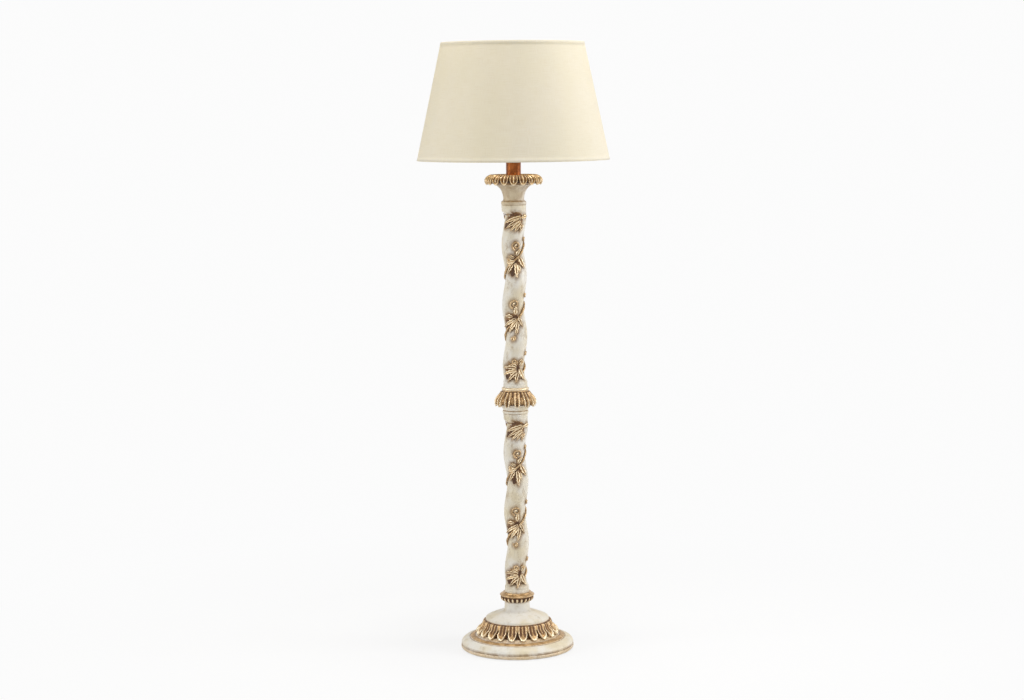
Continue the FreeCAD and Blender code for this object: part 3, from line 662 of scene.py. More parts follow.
def tongue_relief(across, along, half):
    """A tongue with a rounded tip, a raised border, a middle rib and a dart beside it at the top."""
    width = 0.86 * half
    tip = 0.8
    inside = width - np.hypot(across, np.clip(width - (along - tip), 0.0, None))
    depth = 13.0 - 8.6 * rise(along, 3.0, 22.0)
    within = rise(inside, -0.5, 1.2)
    border = hump(inside, 2.0, 1.25)
    rib = hump(across, 0.0, 1.5) * rise(along, 6.0, 13.0)
    curl = hump(along, 3.5, 3.5) * rise(inside, 0.0, 2.5)
    dart_width = 0.36 * half * rise(along, 12.0, TONGUE_TOP)
    dart = rise(dart_width - (half - np.abs(across)), -0.2, 1.0)
    ends = 1.0 - rise(along, TONGUE_TOP - 2.0, TONGUE_TOP + 0.3)
    form = np.maximum(0.45 * within + 0.5 * border + 0.45 * rib + 0.22 * curl, 0.55 * dart)
    # The tone paints highlights on the border, rib and curl, and painted shade in the channels and
    # past the tongue's top under the dome's edge.
    tone = -0.3 - 0.32 * rise(along, 5.0, 13.0) + 0.3 * within
    tone += 0.8 * border + 0.45 * rib + 0.4 * curl
    tone = np.maximum(tone, -0.62 + 0.75 * dart) - 0.4 * (1.0 - ends)
    return depth * form * ends, tone


def make_leaf_moulding():
    ground = smooth_line(TONGUE_GROUND, 0.65)
    ring = carved_shape("leaf_moulding", TONGUES, FRONT, ground, 30, tongue_relief, droop=0.12)
    ring.place("leaf_ring", "leaf_moulding", "gilded_wood", relief=(14, 1.5))


BEADS = 22
BEAD_GROUND = [
    (34, -0.4), (34.4, 1.2), (36.6, 3.6), (40.4, 8), (42.4, 13), (43.4, 14.6), (45.8, 15.4),
    (46.4, 16.8), (45.2, 18.4), (41.2, 20.6), (38.2, 22.4), (37.4, 24.2),
]


def bead_relief(across, along, half):
    """A standing bead under a plain fillet, with a painted highlight on its crest and painted shade
    round it.
    """
    width = 0.66 * half
    ellipse = 1.0 - (across / width) ** 2 - ((along - 9.0) / 7.2) ** 2
    bead = np.sqrt(np.clip(ellipse, 0.0, 1.0))
    fillet = rise(along, 15.5, 17.0)
    # Painted highlight along the bead's crest, painted shade in the hollow round it.
    tone = -0.55 + 1.4 * rise(ellipse, 0.1, 0.8) * hump(across, 0.0, 0.7 * width)
    return 4.4 * bead, tone * (1.0 - fillet) + 0.35 * fillet


def make_collar():
    top = topside("neck_collar") - underside("neck_collar")
    ground = smooth_line(BEAD_GROUND + [(37.0, top), (37.0, top), (31.0, top)], 0.5)
    first = FRONT - 180.0 / BEADS
    ring = carved_shape("neck_collar", BEADS, first, ground, 16, bead_relief)
    ring.place("beaded_collar", "neck_collar", "gilded_wood", relief=(10, 0.9))


KNOP_LEAVES = 12
KNOP_PHASE = 5.0
KNOP_GROUND = [
    (44.6, -0.5), (46.8, 3), (47.4, 8), (45.6, 16), (40.6, 27), (36.2, 35), (34.6, 37.6),
    (34.6, 37.6), (36, 39.2), (36.5, 41.4), (35.9, 43.6), (33.4, 45.2),
]
KNOP_TOP = 39.0


def knop_relief(across, along, half):
    """A pointed leaf with two ridges beside a groove, and a round lobe in the gap beside it."""
    width = 0.84 * half * rise(along, -5.0, 9.0)
    inside = width - np.abs(across)
    depth = 8.4 - 6.0 * rise(along, 8.0, KNOP_TOP - 4.0)
    within = rise(inside, -0.4, 1.6)
    ridges = hump(np.abs(across), 0.5 * width, 0.2 * width + 0.4)
    veins = 0.1 * np.cos(along * 1.5 + np.abs(across) * 0.9) * rise(inside, 0.5, 3.0)
    gap = half - np.abs(across)
    lobe = np.clip(1.0 - (gap / (0.34 * half)) ** 2 - ((along - 15.0) / 11.0) ** 2, 0.0, 1.0)
    ends = (1.0 - rise(along, KNOP_TOP - 3.0, KNOP_TOP)) * rise(along, 0.4, 2.2)
    form = np.maximum(0.4 * within + 0.6 * ridges + veins, 0.62 * np.sqrt(lobe))
    # Painted highlights on the ridges, painted shade in the middle groove.
    tone = -0.45 + 0.4 * within + 0.6 * ridges
    tone += 0.25 * rise(lobe, 0.0, 0.6) - 0.55 * hump(across, 0.0, 0.9)
    bead = rise(along, KNOP_TOP, KNOP_TOP + 2.5)
    # Painted shade in a line just under the top bead, which is bright.
    tone = (tone - 0.6 * hump(along, KNOP_TOP - 0.5, 1.6)) * (1.0 - bead) + 0.7 * bead
    return depth * form * ends, tone


def make_knop():
    top = topside("knop") - underside("knop")
    ground = smooth_line(KNOP_GROUND + [(33.2, top), (33.2, top), (30.0, top)], 0.55)
    first = FRONT + KNOP_PHASE - 180.0 / KNOP_LEAVES
    ring = carved_shape("knop", KNOP_LEAVES, first, ground, 36, knop_relief, droop=0.3)
    ring.place("leafy_knop", "knop", "gilded_wood", relief=(12, 1.3))


PAN_LOBES = 18
PAN_GROUND = [
    (65.4, 4.6), (68.2, 6.4), (69.4, 10.4), (68.4, 15.4), (64.8, 21.2), (59.8, 25.6), (57, 26),
    (53.6, 23.6), (50, 22.2), (40, 22), (19.9, 22),
]
PAN_TOP = 28.0


def pan_relief(across, along, half):
    """A tongue that droops to a rounded tip, with a raised border and a broad middle rib."""
    width = 0.9 * half
    inside = width - np.hypot(across, np.clip(width - (along - 0.6), 0.0, None))
    depth = 7.6 - 6.4 * rise(along, 8.0, PAN_TOP)
    within = rise(inside, -0.5, 1.4)
    border = hump(inside, 1.9, 1.2)
    rib = hump(across, 0.0, 2.3) * rise(along, 1.0, 7.0)
    ends = 1.0 - rise(along, PAN_TOP - 3.0, PAN_TOP)
    upper = rise(along, 7.0, 14.0)
    # The tone paints highlights on the border and rib, and painted shade in the channels.
    tone = -0.85 + 0.6 * within + 0.6 * border + 0.7 * rib + 0.45 * upper * (1.0 - within)
    return depth * (0.4 * within + 0.6 * border + 0.5 * rib) * ends, tone


def make_pan():
    ground = smooth_line(PAN_GROUND, 0.6)
    first = FRONT - 180.0 / PAN_LOBES
    pan = carved_shape("drip_pan", PAN_LOBES, first, ground, 28, pan_relief)
    below = smooth_line([(44.0, 0.4), (52.0, 1.0), (60.0, 3.4), (66.5, 5.4)], 1.5)
    # The underside is a little darker, as painted shade.
    pan.add_grid(turned_grid(below, underside("drip_pan"))[:, ::-1], mark=-0.1)
    pan.place("ruffled_pan", "drip_pan", "gilded_wood", relief=(12, 1.3))


# ---- turned cups
CUP_OUTLINE = [
    (31.6, -0.4), (33.6, 0.8), (34.5, 2.8), (34.5, 5), (33.7, 7.4), (32.3, 8.8), (32.3, 8.8),
    (32.6, 10.2), (34.6, 13.6), (38.6, 18.2), (43.4, 22.6), (46, 25.4),
]
CUP_MARKS = [(-1, -1, 1.4, 30, 36), (-1, 7.6, 10, 31, 36), (-0.35, 18, 26, 36, 47)]
CAPITAL_OUTLINE = [
    (30.6, -0.4), (32.4, 0.8), (33.2, 3.2), (33.2, 7), (32.2, 9.6), (29.4, 11.4), (29.4, 11.4),
    (28, 13.6), (27.6, 18), (28.4, 25), (31, 33.6), (35.6, 42.4), (42, 49.2), (46.6, 52),
    (46.6, 52), (47.6, 53), (47.4, 54.4),
]
CAPITAL_MARKS = [
    (-0.5, 12, 44, 27, 42), (-0.6, 44, 55, 36, 49), (-0.9, -1, 1.6, 30, 34), (-0.4, 1.6, 9, 30, 34),
    (-1, 9, 12, 28, 34),
]


# ---- winding shafts
def from_end(height):
    return np.minimum(height, SHAFT_LENGTH - height)


def twist_share(height):
    return rise(from_end(height), SHAFT_END_LENGTH, SHAFT_END_LENGTH + SHAFT_BLEND)


def valley_angle(height):
    return FRONT + 360.0 * (height - TWIST_FRONT) / TWIST_PITCH


def on_shaft(angle, height, lift):
    """Points that stand off the winding round section by a lift, from arrays of the same size."""
    height = np.clip(height, 0.0, SHAFT_LENGTH)
    share = twist_share(height)
    away = np.radians(valley_angle(height) + 180.0)
    radius = SHAFT_END_R + (SHAFT_R - SHAFT_END_R) * share + lift
    turn = np.radians(angle)
    x = SHAFT_OFFSET * share * np.cos(away) + radius * np.cos(turn)
    y = SHAFT_OFFSET * share * np.sin(away) + radius * np.sin(turn)
    return np.stack([x, y, height], axis=-1)


def on_skin(across, height, lift):
    """The same, from a distance in millimetres to the right of the front line."""
    return on_shaft(FRONT + np.degrees(across / SHAFT_R), height, lift)


def shaft_grid(foot):
    heights = np.linspace(0.0, SHAFT_LENGTH, 320)[:, None]
    angle = 360.0 * np.arange(96)[None, :] / 96
    facing = np.radians(angle - valley_angle(heights))
    hollow = -1.1 * twist_share(heights) * np.exp(4.0 * (np.cos(facing) - 1.0))
    marks = 0.12 * np.sin(heights * 1.9) * (1.0 - twist_share(heights))
    groove = -0.9 * hump(from_end(heights), SHAFT_END_LENGTH - 3.0, 0.9)
    grid = on_shaft(angle + 0.0 * heights, heights + 0.0 * angle, hollow + marks + groove)
    grid[..., 2] += foot
    return grid


# ---- vine on a shaft
# Leaves: height above the spray's middle and distance to the right of the front line at the root,
# direction (clockwise from up, seen from outside), length, width, and how far the blade bends.
TOP_SPRAY = [
    (12, 34, 250, 24, 8, 10), (10, 14, 256, 46, 8.5, -18), (4, 15, 246, 44, 8.5, -22),
    (-3, 14, 234, 34, 8, -22), (-8, 16, 222, 26, 7.5, -20), (-12, 22, 212, 19, 7, -16),
]
UPPER_SPRAY = [
    (13, 8, 20, 22, 7, 30), (7, 1, 300, 15, 7, -25), (9, 14, 168, 30, 10.5, -10),
    (-1, 1, 262, 23, 9, -20), (-5, 3, 188, 42, 8.5, -14), (-8, -4, 222, 32, 7.5, -18),
    (-11, 8, 170, 20, 7, 20),
]
LOWER_SPRAY = [
    (12, 3, 25, 24, 8, -30), (7, -3, 285, 19, 8.5, -25), (3, 6, 242, 46, 8, -10),
    (-3, 7, 226, 42, 7.5, -14), (-7, 9, 204, 36, 7.5, -14), (6, 11, 162, 28, 7.5, 10),
    (-4, 0, 262, 26, 7, -30),
]
FOOT_SPRAY = [
    (10, 17, 20, 16, 7.5, 40), (8, 7, 320, 17, 7.5, -50), (4, 8, 288, 36, 8.5, -30),
    (-1, 8, 262, 38, 8.5, -24), (-5, 9, 236, 36, 8, -20), (-8, 11, 208, 27, 8, -14),
    (2, 16, 168, 30, 10.5, -8),
]
BACK_SPRAY = [(8, -9, 330, 24, 8, -25), (-2, 8, 150, 28, 8.5, 20), (-16, -7, 172, 22, 7, 25)]
# Sprays: their middle's height and distance from the front line, and the leaves.
SPRAYS = [
    (0.103 * SHAFT_LENGTH, 0, FOOT_SPRAY), (0.38 * SHAFT_LENGTH, 0, LOWER_SPRAY),
    (0.7 * SHAFT_LENGTH, 0, UPPER_SPRAY), (0.92 * SHAFT_LENGTH, 0, TOP_SPRAY),
    (TWIST_FRONT - 1.5 * TWIST_PITCH, math.pi * SHAFT_R, BACK_SPRAY),
    (TWIST_FRONT - 0.5 * TWIST_PITCH, math.pi * SHAFT_R, BACK_SPRAY),
    (TWIST_FRONT + 0.5 * TWIST_PITCH, math.pi * SHAFT_R, BACK_SPRAY),
]
# Low dark grounds that the front sprays are carved on: height and distance from the front line at
# the root, direction, length, width and bend.
BACKINGS = [
    (0.92 * SHAFT_LENGTH + 12, 20, 245, 60, 27, -16),
    (0.7 * SHAFT_LENGTH + 12, 8, 205, 58, 22, -10), (0.38 * SHAFT_LENGTH + 11, 9, 226, 60, 26, -10),
    (0.103 * SHAFT_LENGTH + 10, 16, 240, 54, 30, -22),
]
# Tendrils: height and distance across of the curl's middle, its radius, turns and first direction.
TENDRILS = [
    (378, 10, 12, 1.4, 200), (224, 4, 12, 1.4, 200), (133, -9, 6.5, 1.3, 20), (72, 2, 7, 1.3, 90),
    (396, 38, 4.5, 1.2, 180), (247, 39, 4.5, 1.2, 180), (93, 37, 4.5, 1.2, 180),
]
# Flowers: height and distance across of the middle, petal length, petals.
FLOWERS = [(339, -13, 8, 6), (71, 20, 6.5, 5)]
STEM_R = 2.5
VINE_GRIME = 12.0           # how far from the vine the brown in the shaft's paint reaches
LEAF_LIFT = 0.2
LEAF_STATIONS = 20
LEAF_RIDGE = 4.6


def leaf_outline(share, lobes):
    """Half width along a leaf, from 0 at its root to 0 at its tip, with soft lobes."""
    plain = np.sin(np.pi * share ** 0.72) ** 0.75
    return plain * (1.0 + 0.16 * np.cos(2 * np.pi * lobes * share) * rise(share, 0.1, 0.3)) + 0.04


def leaf_grid(root_height, root_across, direction, length, width, bend, ridge=LEAF_RIDGE, curl=3.2):
    """A fluted blade on the shaft's skin: two ridges, a groove between them and a lifted tip.

    Its points are given back, with a tone for each: painted highlights on the ridges and painted
    shade on the underside.
    """
    share = np.linspace(0.0, 1.0, LEAF_STATIONS)
    bearing = np.radians(direction + bend * share)
    step = length / (LEAF_STATIONS - 1)
    along_across = root_across + np.concatenate([[0.0], np.cumsum(np.sin(bearing[1:]) * step)])
    along_up = root_height + np.concatenate([[0.0], np.cumsum(np.cos(bearing[1:]) * step)])
    half = 0.68 * width * leaf_outline(share, max(2.0, length / 9.0))
    side = np.concatenate([np.linspace(-1.0, 1.0, 13), np.linspace(0.9, -0.9, 5)])
    top = np.arange(len(side)) < 13
    fluted = 0.45 * (1.0 - side ** 4) + 0.55 * np.sin(np.pi * side) ** 2
    swell = (np.sin(np.pi * share ** 0.6) ** 0.6)[:, None]
    lifted = (curl * share ** 3)[:, None]
    lift = LEAF_LIFT + lifted + np.where(top, ridge * (0.35 + 0.65 * swell) * fluted, -0.8)
    lift = lift + 0.35 * np.cos(18.0 * share)[:, None] * np.where(top, fluted, 0.0)
    across = along_across[:, None] + np.cos(bearing)[:, None] * side * half[:, None]
    up = along_up[:, None] - np.sin(bearing)[:, None] * side * half[:, None]
    # Painted highlights on the ridges, painted shade on the underside.
    tone = np.where(top, 1.3 * fluted - 0.6, -1.0) + 0.3 * share[:, None]
    return on_skin(across, up, lift), tone


def tube_on_skin(up, across, radius, lift):
    """A round bar along a line on the shaft's skin, from arrays of its heights and distances."""
    centre = on_skin(across, up, lift)
    return tube_grid(centre, on_skin(across, up, lift + 1.0) - centre, radius)


def stem_grid():
    """The vine's stem along the valley, a little uneven."""
    up = np.linspace(34.0, 462.0, 420)
    across = np.radians(valley_angle(up) - FRONT) * SHAFT_R + 1.4 * np.sin(up / 9.0)
    radius = STEM_R * (1.0 + 0.16 * np.sin(up / 2.7)) * (0.25 + 0.75 * rise(up, 34.0, 46.0))
    return tube_on_skin(up, across, radius * (1.0 - 0.7 * rise(up, 450.0, 462.0)), 1.4)


def tendril_grid(height, across, radius, turns, first):
    """A bar that winds inwards to a bright knob: its points, and how bright each is."""
    share = np.linspace(0.0, 1.0, 46)
    angle = np.radians(first) + 2 * np.pi * turns * share
    reach = radius * (1.0 - 0.82 * share)
    bar = 2.6 - 1.0 * share + 2.0 * rise(share, 0.9, 1.0)
    up = height + reach * np.cos(angle)
    grid = tube_on_skin(up, across + reach * np.sin(angle), bar, 1.6)
    return grid, np.repeat(0.05 + 0.8 * rise(share, 0.75, 1.0), grid.shape[1])


def add_flower(vine, height, across, petal, count):
    for i in range(count):
        turn = 360.0 * i / count
        grid, tone = leaf_grid(height, across, turn, petal, petal * 0.8, 12.0, 3.4, 1.6)
        vine.add_grid(grid, capped=True, mark=tone)
    for i in range(7):
        turn = 2 * np.pi * i / 6
        reach = 0.0 if i == 6 else 2.0
        add_berry(vine, height + reach * np.cos(turn), across + reach * np.sin(turn), 1.5, 4.2)


def add_berry(vine, height, across, radius, lift):
    latitude = np.radians(np.linspace(-80.0, 80.0, 7))
    centre = on_skin(np.array([across]), np.array([height]), np.array([lift]))[0]
    turn = ring_angles(10)
    ring = radius * np.cos(latitude)[:, None]
    grid = np.stack([ring * np.cos(turn), ring * np.sin(turn),
                     np.broadcast_to(radius * np.sin(latitude)[:, None], (7, 10))], axis=-1)
    vine.add_grid(grid + centre, capped=True)


def vine_shape(foot):
    vine = Shape()
    vine.add_grid(stem_grid(), capped=True)
    for middle, across, leaves in SPRAYS:
        for i, leaf in enumerate(leaves):
            grid, tone = leaf_grid(middle + leaf[0], across + leaf[1], *leaf[2:])
            vine.add_grid(grid, capped=True, mark=tone + 0.28 * math.sin(2.2 * i + 1.0))
    for patch in BACKINGS:
        vine.add_grid(leaf_grid(*patch, ridge=1.3, curl=0.0)[0], capped=True, mark=-0.7)
    for tendril in TENDRILS:
        grid, tone = tendril_grid(*tendril)
        vine.add_grid(grid, capped=True, mark=tone)
    for flower in FLOWERS:
        add_flower(vine, *flower)
    for points in vine.points:
        points[:, 2] += foot
    return vine


def mark_near(piece, other, reach):
    """Stores on a piece how near each point is to another, high beside it and 0 beyond the reach."""
    tree = kdtree.KDTree(len(other.data.vertices))
    for vertex in other.data.vertices:
        tree.insert(vertex.co, vertex.index)
    tree.balance()
    gaps = np.array([tree.find(vertex.co)[2] for vertex in piece.data.vertices]) / MM
    store(piece.data, "near_gold", 0.95 * (1.0 - rise(gaps, 0.0, reach)) ** 1.2)


def make_shaft(level):
    foot = underside(level + "_shaft")
    carving = vine_shape(foot)
    vine = carving.place(level + "_vine_carving", level + "_vine", "gilded_wood", relief=(5, 0.8))
    turning = Shape().add_grid(shaft_grid(foot), capped=True)
    shaft = turning.place(level + "_shaft_turning", level + "_shaft", "ivory_wood",
                          relief=(30, 1.2), material="shaft_paint")
    mark_near(shaft, vine, VINE_GRIME)


# ---- rod, fastenings and ballast
def make_turned(node, corners, slot, around=96, bevel=0.3):
    """A turned piece from its closed outline: outwards below, up, inwards and back down."""
    grid = turned_grid(beveled(corners, bevel), underside(node), around)
    return Shape().add_grid(grid, looped=True).place(node + "_turning", node, slot)


def make_tube():
    corners = [(18.4, 0), (19.6, 0), (19.6, 62), (18.4, 62)]
    make_turned("candle_tube", corners, "tube_bronze", 128, 0.35)


def make_ballast():
    corners = [(5.5, 0), (108.5, 0), (110, 1.5), (110, 12.5), (108.5, 14), (5.5, 14)]
    make_turned("ballast", corners, "cast_iron", bevel=0.6)


ROD_THREAD = 26.0           # length of the thread at each end
ROD_PITCH = {"least_r": 4.8, "pitch": 1.0, "depth": 0.35}
NUT_CORNER_R = 9.5


def make_tie_rod():
    """A hollow rod with a fine thread at both ends."""
    foot, head = underside("tie_rod"), topside("tie_rod")
    length = head - foot
    thread = np.linspace(0.0, ROD_THREAD, 105)
    heights = np.concatenate([thread, length - thread[::-1]])
    side = np.stack([np.full(len(heights), 5.0), heights], axis=1)
    outline = np.vstack([[(3.6, 0.0), (4.7, 0.0)], side, [(4.7, length), (3.6, length)]])
    grid = turned_grid(outline, foot, 32)
    cut_thread(grid, foot - 1.0, foot + ROD_THREAD, **ROD_PITCH)
    cut_thread(grid, head - ROD_THREAD, head + 1.0, **ROD_PITCH)
    Shape().add_grid(grid, looped=True).place("threaded_rod", "tie_rod", "zinc_steel")


def hexagon_share(angle):
    """Distance to a hexagon's side over that to its corner, at each angle."""
    return math.cos(math.pi / 6) / np.cos(np.mod(angle, math.pi / 3) - math.pi / 6)


def make_pair(name, node, heights, radius):
    """Two equal fittings on the rod, one at the node's foot and one at its head."""
    pair = Shape()
    for foot in (underside(node), topside(node) - heights.max()):
        pair.add_grid(polar_grid(radius, ring_angles(96), heights[:, None] + foot), looped=True)
    pair.place(name, node, "zinc_steel")


def make_nuts():
    """Hexagon nuts with the corners of both faces turned off."""
    heights = np.array([0.0, 0.0, 0.25, 0.6, 1.1, 1.7, 3.0, 4.3, 4.9, 5.4, 5.75, 6.0, 6.0, 6.0, 0.0])
    reach = np.array([0.0, 8.3, 8.6, 8.9, 9.2, 9.5, 9.5, 9.5, 9.2, 8.9, 8.6, 8.3, 8.3, 0.0, 0.0])
    hexagon = NUT_CORNER_R * hexagon_share(ring_angles(96))
    bore_r = 5.3
    radius = np.maximum(np.minimum(hexagon[None, :], reach[:, None]), bore_r)
    make_pair("hexagon_nuts", "rod_nuts", heights, radius)


def make_plates():
    """Square plates with rounded corners and edges, bored for the rod."""
    heights = np.array([0.0, 0.0, 0.15, 0.5, 1.5, 1.85, 2.0, 2.0])
    inset = np.array([0.0, 0.5, 0.15, 0.0, 0.0, 0.15, 0.5, 0.0])
    angle = ring_angles(96)
    square = 12.5 / np.power(np.abs(np.cos(angle)) ** 12 + np.abs(np.sin(angle)) ** 12, 1 / 12)
    radius = square[None, :] - inset[:, None]
    radius[[0, -1]] = 5.5
    make_pair("square_plates", "rod_plates", heights, radius)


def make_gland():
    """The bush that the cord enters by, a sleeve with a domed head, lying along Y."""
    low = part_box("cord_gland")[0]
    corners = [(3.5, 0), (5, 0), (5, 36), (6.5, 36), (6.5, 38), (5.4, 39), (4.1, 39), (3.5, 38.4)]
    grid = turned_grid(beveled(corners, 0.25), 0.0, 64)
    lying = np.stack([grid[..., 0], grid[..., 2], -grid[..., 1]], axis=-1)
    lying += np.array([0.0, low.y / MM, low.z / MM + 6.5])
    Shape().add_grid(lying, looped=True).place("cord_bush", "cord_gland", "gland_plastic")


# ---- lampholder and bulb
HOLDER_CAP_CORNERS = [
    (5.5, 0), (18.1, 0), (18.1, 6), (18.8, 6), (18.8, 26), (17.2, 26), (17.2, 11), (5.5, 11),
]
BARREL_CORNERS = [(14.5, 0), (23.5, 0), (23.5, 3), (19.8, 3), (19.8, 39.4), (19.2, 40), (14.5, 40)]
INSERT_CORNERS = [
    (0.05, 0), (13, 0), (13, 12), (11.4, 12), (11, 10.6), (7.4, 10.6), (7, 12), (0.05, 12),
]
BAR_SLOT = (5.4, 4.4)       # width and height


def make_holder():
    cap = make_turned("holder_cap", HOLDER_CAP_CORNERS, "holder_plastic", 128, 0.4)
    bar_low, bar_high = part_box("push_bar")
    middle = (bar_low.z + bar_high.z) / 2 / MM
    width, height = BAR_SLOT
    cut_away(cap, (-25.0, -width / 2, middle - height / 2), (50.0, width, height))
    foot = underside("holder_skirt")
    outline = subdivided(beveled(BARREL_CORNERS, 0.3), 0.45)
    grid = turned_grid(outline, foot, 96)
    cut_thread(grid, foot + 4.0, foot + 41.5, least_r=19.0, pitch=2.5, depth=0.5)
    Shape().add_grid(grid, looped=True).place("threaded_barrel", "holder_skirt", "holder_plastic")
    make_turned("holder_insert", INSERT_CORNERS, "holder_ceramic")


def bar_grid(x, section, widths, depths, middle):
    """A bar along X: a section of (Y, Z), scaled in both, about a line at the given heights."""
    across = section[0] * widths[:, None]
    up = section[1] * depths[:, None] + np.reshape(middle, (-1, 1))
    return np.stack([x[:, None] + 0.0 * across, across, up], axis=-1)


def oblong(half_width, half_depth, width_power, depth_power, around):
    """A rounded oblong about X; the lower its powers, the squarer it is."""
    turn = -ring_angles(around)
    y = half_width * np.sign(np.cos(turn)) * np.abs(np.cos(turn)) ** width_power
    z = half_depth * np.sign(np.sin(turn)) * np.abs(np.sin(turn)) ** depth_power
    return y, z


def make_contact():
    """A brass tongue with a pip in the middle."""
    x = np.linspace(-6.0, 6.0, 41)
    from_ends = np.clip((x - x[0]) * (x[-1] - x) / 3.0, 0.0, 1.0)
    widths = np.minimum(1.0, 0.3 + 0.7 * np.sqrt(from_ends))
    middle = underside("centre_contact") + 0.3 + 0.4 * hump(x, 0.0, 1.6)
    grid = bar_grid(x, oblong(2.5, 0.25, 0.35, 0.5, 16), widths, np.ones(len(x)), middle)
    strip = Shape().add_grid(grid, capped=True)
    strip.place("contact_tongue", "centre_contact", "contact_brass")


def make_bar():
    """The bar that is pushed through, with rounded edges and a shallow ring near each end."""
    low, high = (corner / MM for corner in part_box("push_bar"))
    x = np.linspace(low.x, high.x, 121)
    inwards = np.minimum(x - low.x, high.x - x)
    size = 0.86 + 0.14 * rise(inwards, 0.0, 0.9) - 0.05 * hump(inwards, 3.2, 0.4)
    grid = bar_grid(x, oblong(2.5, 2.0, 0.3, 0.3, 28), size, size, (low.z + high.z) / 2)
    bar = Shape().add_grid(grid, capped=True)
    bar.place("switch_bar", "push_bar", "switch_plastic", "push_bar")


def make_clamp_ring():
    """A ring with finger grips round its outside; its thread inside is not drawn."""
    corners = [(20.3, 0), (25.5, 0), (25.5, 6.6), (24.4, 8), (20.3, 8)]
    outline = subdivided(beveled(corners, 0.35), 0.8)
    grid = turned_grid(outline, underside("clamp_ring"), 240)

    def grips(radius, angle, _):
        return 0.55 * (0.5 - 0.5 * np.cos(30 * angle)) ** 2 * rise(radius, 23.5, 25.0)
    ring = Shape().add_grid(cut_in(grid, grips), looped=True)
    ring.place("gripped_ring", "clamp_ring", "holder_plastic", "clamp_ring")


BULB_CAP_CORNERS = [
    (0.05, 0), (2.8, 0), (4.4, 0.6), (4.9, 1.3), (5.4, 1.3), (12.2, 3.4), (12.2, 3.8), (13.1, 3.9),
    (13.2, 23.2), (12.8, 24), (0.05, 24),
]
BULB_OUTSIDE = [
    (13.6, 0), (13.7, 2), (14.4, 8.3), (16.6, 15.6), (20.4, 23.4), (25.6, 33), (28.9, 43), (30, 52),
    (28.7, 61), (25, 68.8), (19, 75.3), (11, 80.1), (4, 81.8), (0.05, 82),
]
BULB_R = 30.0
BULB_MIDDLE = 52.0          # height of the bulb's widest ring
GLASS_THICKNESS = 1.0


def make_bulb():
    foot = underside("bulb_cap")
    outline = subdivided(beveled(BULB_CAP_CORNERS, 0.2), 0.4)
    grid = turned_grid(outline, foot, 96)
    cut_thread(grid, foot + 5.0, foot + 22.0, least_r=12.5, pitch=3.6, depth=0.9)
    insulator = outline_marks(outline, [(1.0, 1.25, 3.85, 5.0, 12.3)], 96)
    cap = Shape().add_grid(grid, looped=True, mark=insulator)
    cap.place("bulb_screw_cap", "bulb_cap", "bulb_aluminium", "bulb")
    outside = smooth_line(BULB_OUTSIDE, 1.0)
    middle = np.array([0.0, BULB_MIDDLE])
    inside = outside[::-1].copy()
    upper = inside[:, 1] > BULB_MIDDLE
    inside[upper] = middle + (inside[upper] - middle) * (1.0 - GLASS_THICKNESS / BULB_R)
    inside[~upper, 0] -= GLASS_THICKNESS
    wall = np.vstack([outside, inside])
    glass = Shape().add_grid(turned_grid(wall, underside("bulb_glass"), 96), looped=True)
    glass.place("bulb_pear", "bulb_glass", "bulb_glass", "bulb")


# ---- shade
WIRE_R = 2.0
SHADE_THICKNESS = 0.9
HEM_HEIGHT = 7.0
HEM_STEP = 0.35             # how far the hems stand out
SEAM_STEP = 0.35            # how far the lap at the seam stands out
SEAM_LAP = 11.0
SEAM_EDGE = 0.25
SHADE_AROUND = 240


def make_hoop(node):
    """A hoop of round wire."""
    turn = ring_angles(20)
    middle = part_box(node)[1].x / MM - WIRE_R
    outline = np.stack([middle + WIRE_R * np.cos(turn), WIRE_R * (1.0 + np.sin(turn))], axis=1)
    hoop = Shape().add_grid(turned_grid(outline, underside(node), SHADE_AROUND), looped=True)
    hoop.place(node + "_hoop", node, "frame_enamel", "shade")


def make_fitter():
    """The ring that the lampholder carries, and three wire arms down to the bottom hoop."""
    top = topside("shade_fitter")
    corners = [(20.3, 0), (27, 0), (27, 2), (20.3, 2)]
    fitter = Shape().add_grid(turned_grid(beveled(corners, 0.35), top - 2.0, 96), looped=True)
    hoop_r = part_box("shade_bottom_wire")[1].x / MM - 2 * WIRE_R
    drop = underside("shade_bottom_wire") + WIRE_R - top + 1.0
    share = np.linspace(0.0, 1.0, 60)
    reach = 25.6 + (hoop_r - 26.2) * share
    radius = 1.7 + 0.25 * hump(share, 1.0, 0.008) - 0.75 * (1.0 - rise(share, 0.0, 0.02))
    for angle in np.radians([90.0, 210.0, 330.0]):
        centre = polar_grid(reach, angle, top - 1.0 + drop * share)
        fitter.add_grid(tube_grid(centre, np.array([[0.0, 0.0, 1.0]]), radius, 16), capped=True)
    fitter.place("fitter_spider", "shade_fitter", "frame_enamel", "shade")


def shade_radius(height):
    low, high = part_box("shade_cover")
    rim = [v.co.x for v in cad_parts["shade_cover"].data.vertices if v.co.z > high.z - MM]
    bottom_r, top_r = high.x / MM, max(rim) / MM
    return bottom_r + (top_r - bottom_r) * height / ((high.z - low.z) / MM)


def seam_angles(radius):
    """Angles round the cover from its seam at the back, with extra ones at the seam's edges."""
    at_seam = np.array([
        -SEAM_LAP - SEAM_EDGE, -SEAM_LAP, -SEAM_EDGE, 0.0, SEAM_LAP, 2 * SEAM_LAP
    ]) / radius
    room = 2 * math.pi - at_seam[-1] + at_seam[0]
    rest = at_seam[-1] + room * np.arange(1, SHADE_AROUND) / SHADE_AROUND
    return math.pi / 2 + np.concatenate([at_seam, rest])


